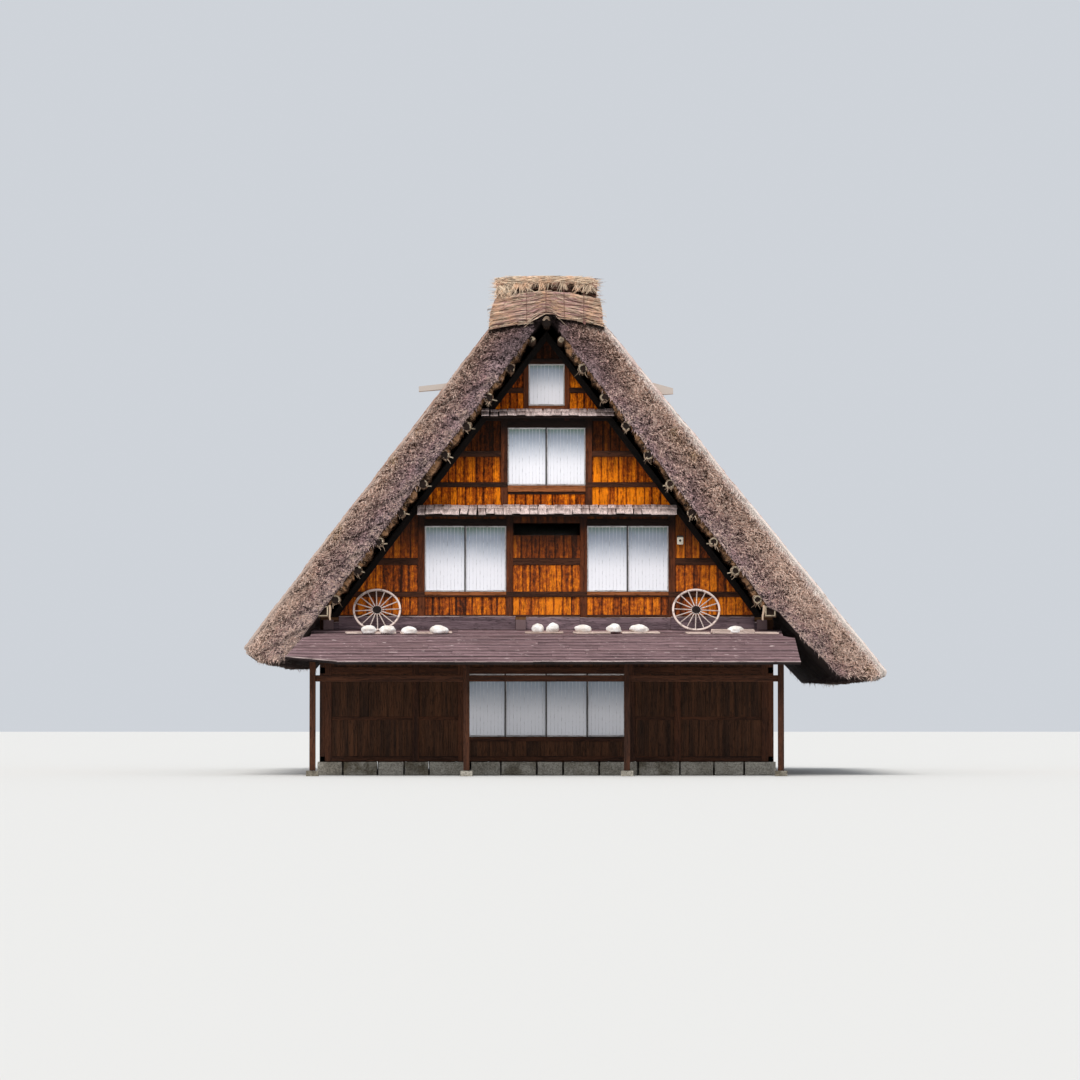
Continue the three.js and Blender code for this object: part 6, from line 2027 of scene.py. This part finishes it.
# Boards as left end, right end, shift out and thickness; stones as place, length, width and height
LOAD = {
    "left": {"planks": [(-4.44, -4.05, 0.06, 0.028), (-3.90, -3.30, 0.06, 0.028), (-3.23, -2.32, 0.10, 0.028),
                        (-2.45, -2.08, 0.00, 0.028)],
             "stones": [(-3.92, 0.34, 0.24, 0.20), (-3.51, 0.37, 0.25, 0.20), (-3.03, 0.36, 0.23, 0.18),
                        (-2.37, 0.42, 0.25, 0.21)]},
    "middle": {"planks": [(-0.48, 0.38, 0.04, 0.028), (0.58, 1.42, 0.07, 0.028), (1.64, 2.53, 0.04, 0.028)],
               "stones": [(-0.20, 0.27, 0.23, 0.21), (0.13, 0.29, 0.23, 0.23), (0.80, 0.38, 0.24, 0.18),
                          (1.48, 0.35, 0.23, 0.21), (2.04, 0.44, 0.25, 0.19)]},
    "right": {"planks": [(3.066, 3.640, 0.11, 0.028), (3.626, 4.597, 0.06, 0.080),
                         (4.560, 5.149, 0.11, 0.028)],
              "stones": [(4.165, 0.37, 0.24, 0.17)]},
}
for seed, (name, load) in enumerate(LOAD.items()):
    node = name + "_weighted_boards"
    boards = Batch(181 + seed)
    stones = Batch(191 + seed)
    for left, right, shift, thick in load["planks"]:
        out = BOARD_OUT + shift
        under = [lean_top(out - BOARD_HALF), lean_top(out + BOARD_HALF)]
        y = [-HALF_LENGTH - out + BOARD_HALF, -HALF_LENGTH - out - BOARD_HALF]
        ragged = boards.chance.uniform(0.0, 0.07, 2)
        for share in (0.0, 0.5):
            start = left + ragged[0] * share
            end = right - ragged[1] * (1 - share)
            y0, y1 = np.interp((share, share + 0.5), (0, 1), y)
            z0, z1 = np.interp((share, share + 0.5), (0, 1), under)
            x = RIDGE_X + start
            outline = [(x, y0, z0), (x, y1, z1), (x, y1, z1 + thick), (x, y0, z0 + thick)]
            boards.member(outline, (end - start, 0, 0), (1, 0, 0))
    for u, long, wide, tall in load["stones"]:
        ball = bmesh.new()
        bmesh.ops.create_icosphere(ball, subdivisions=4, radius=0.5)
        points, faces = shape_points(ball)
        own = int(100 + u * 37)
        lumps = 0.20 * lattice(points, 0.45, own) + 0.07 * lattice(points, 0.2, own + 1)
        points = points * (1 + lumps)[:, None]
        points[:, 2] = np.maximum(points[:, 2], -0.30)
        points = (points - points.min(axis=0)) / np.ptp(points, axis=0)
        out, lift = STONE_OUT[name]
        foot = (RIDGE_X + u - long / 2, -HALF_LENGTH - out - wide / 2, lean_top(out) + lift)
        points = points * (long, wide, tall * 0.9) + foot
        stones.put(points, faces, np.zeros((len(points), 3)), None)
    boards.made(name + "_loose_boards", LOOSE_BOARDS, "pale_wood", [node], 0.004)
    stones.made(name + "_river_stones", RIVER_STONE, "pale_stone", [node])


# Lamp box
# A small white box with a round lens and a dark bracket hangs on the gable boards beside the right screens.
WHITE_PAINT, tree, shader = finish("white_paint", 0.5, specular=0.4)
place = object_place(tree)
wear(tree, shader, mix(tree, step(tree, noise(tree, place, 20.0, 3), 0.4, 0.75), shade(236, 228, 210),
                       shade(206, 196, 174)))
DARK_LENS, tree, shader = finish("dark_lens", 0.2, specular=0.5)
shader.inputs["Base Color"].default_value = shade(60, 52, 46)
low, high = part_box("lamp_box")
case = Batch(201)
case.box((low.x + 0.005, low.y, low.z), (high.x - 0.005, high.y, high.z - 0.035))
case.made("lamp_case", WHITE_PAINT, "lamp_white", ["lamp_box"], 0.012)
lens = Batch(202)
middle = (low + high) / 2
lens.tube([(middle.x, low.y + 0.01, middle.z - 0.01), (middle.x, low.y - 0.004, middle.z - 0.01)], 0.028, 16)
lens.box((low.x, low.y + 0.02, high.z - 0.03), (high.x, high.y, high.z))
lens.made("lamp_lens", DARK_LENS, "lamp_white", ["lamp_box"], 0.003)

low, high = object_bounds()
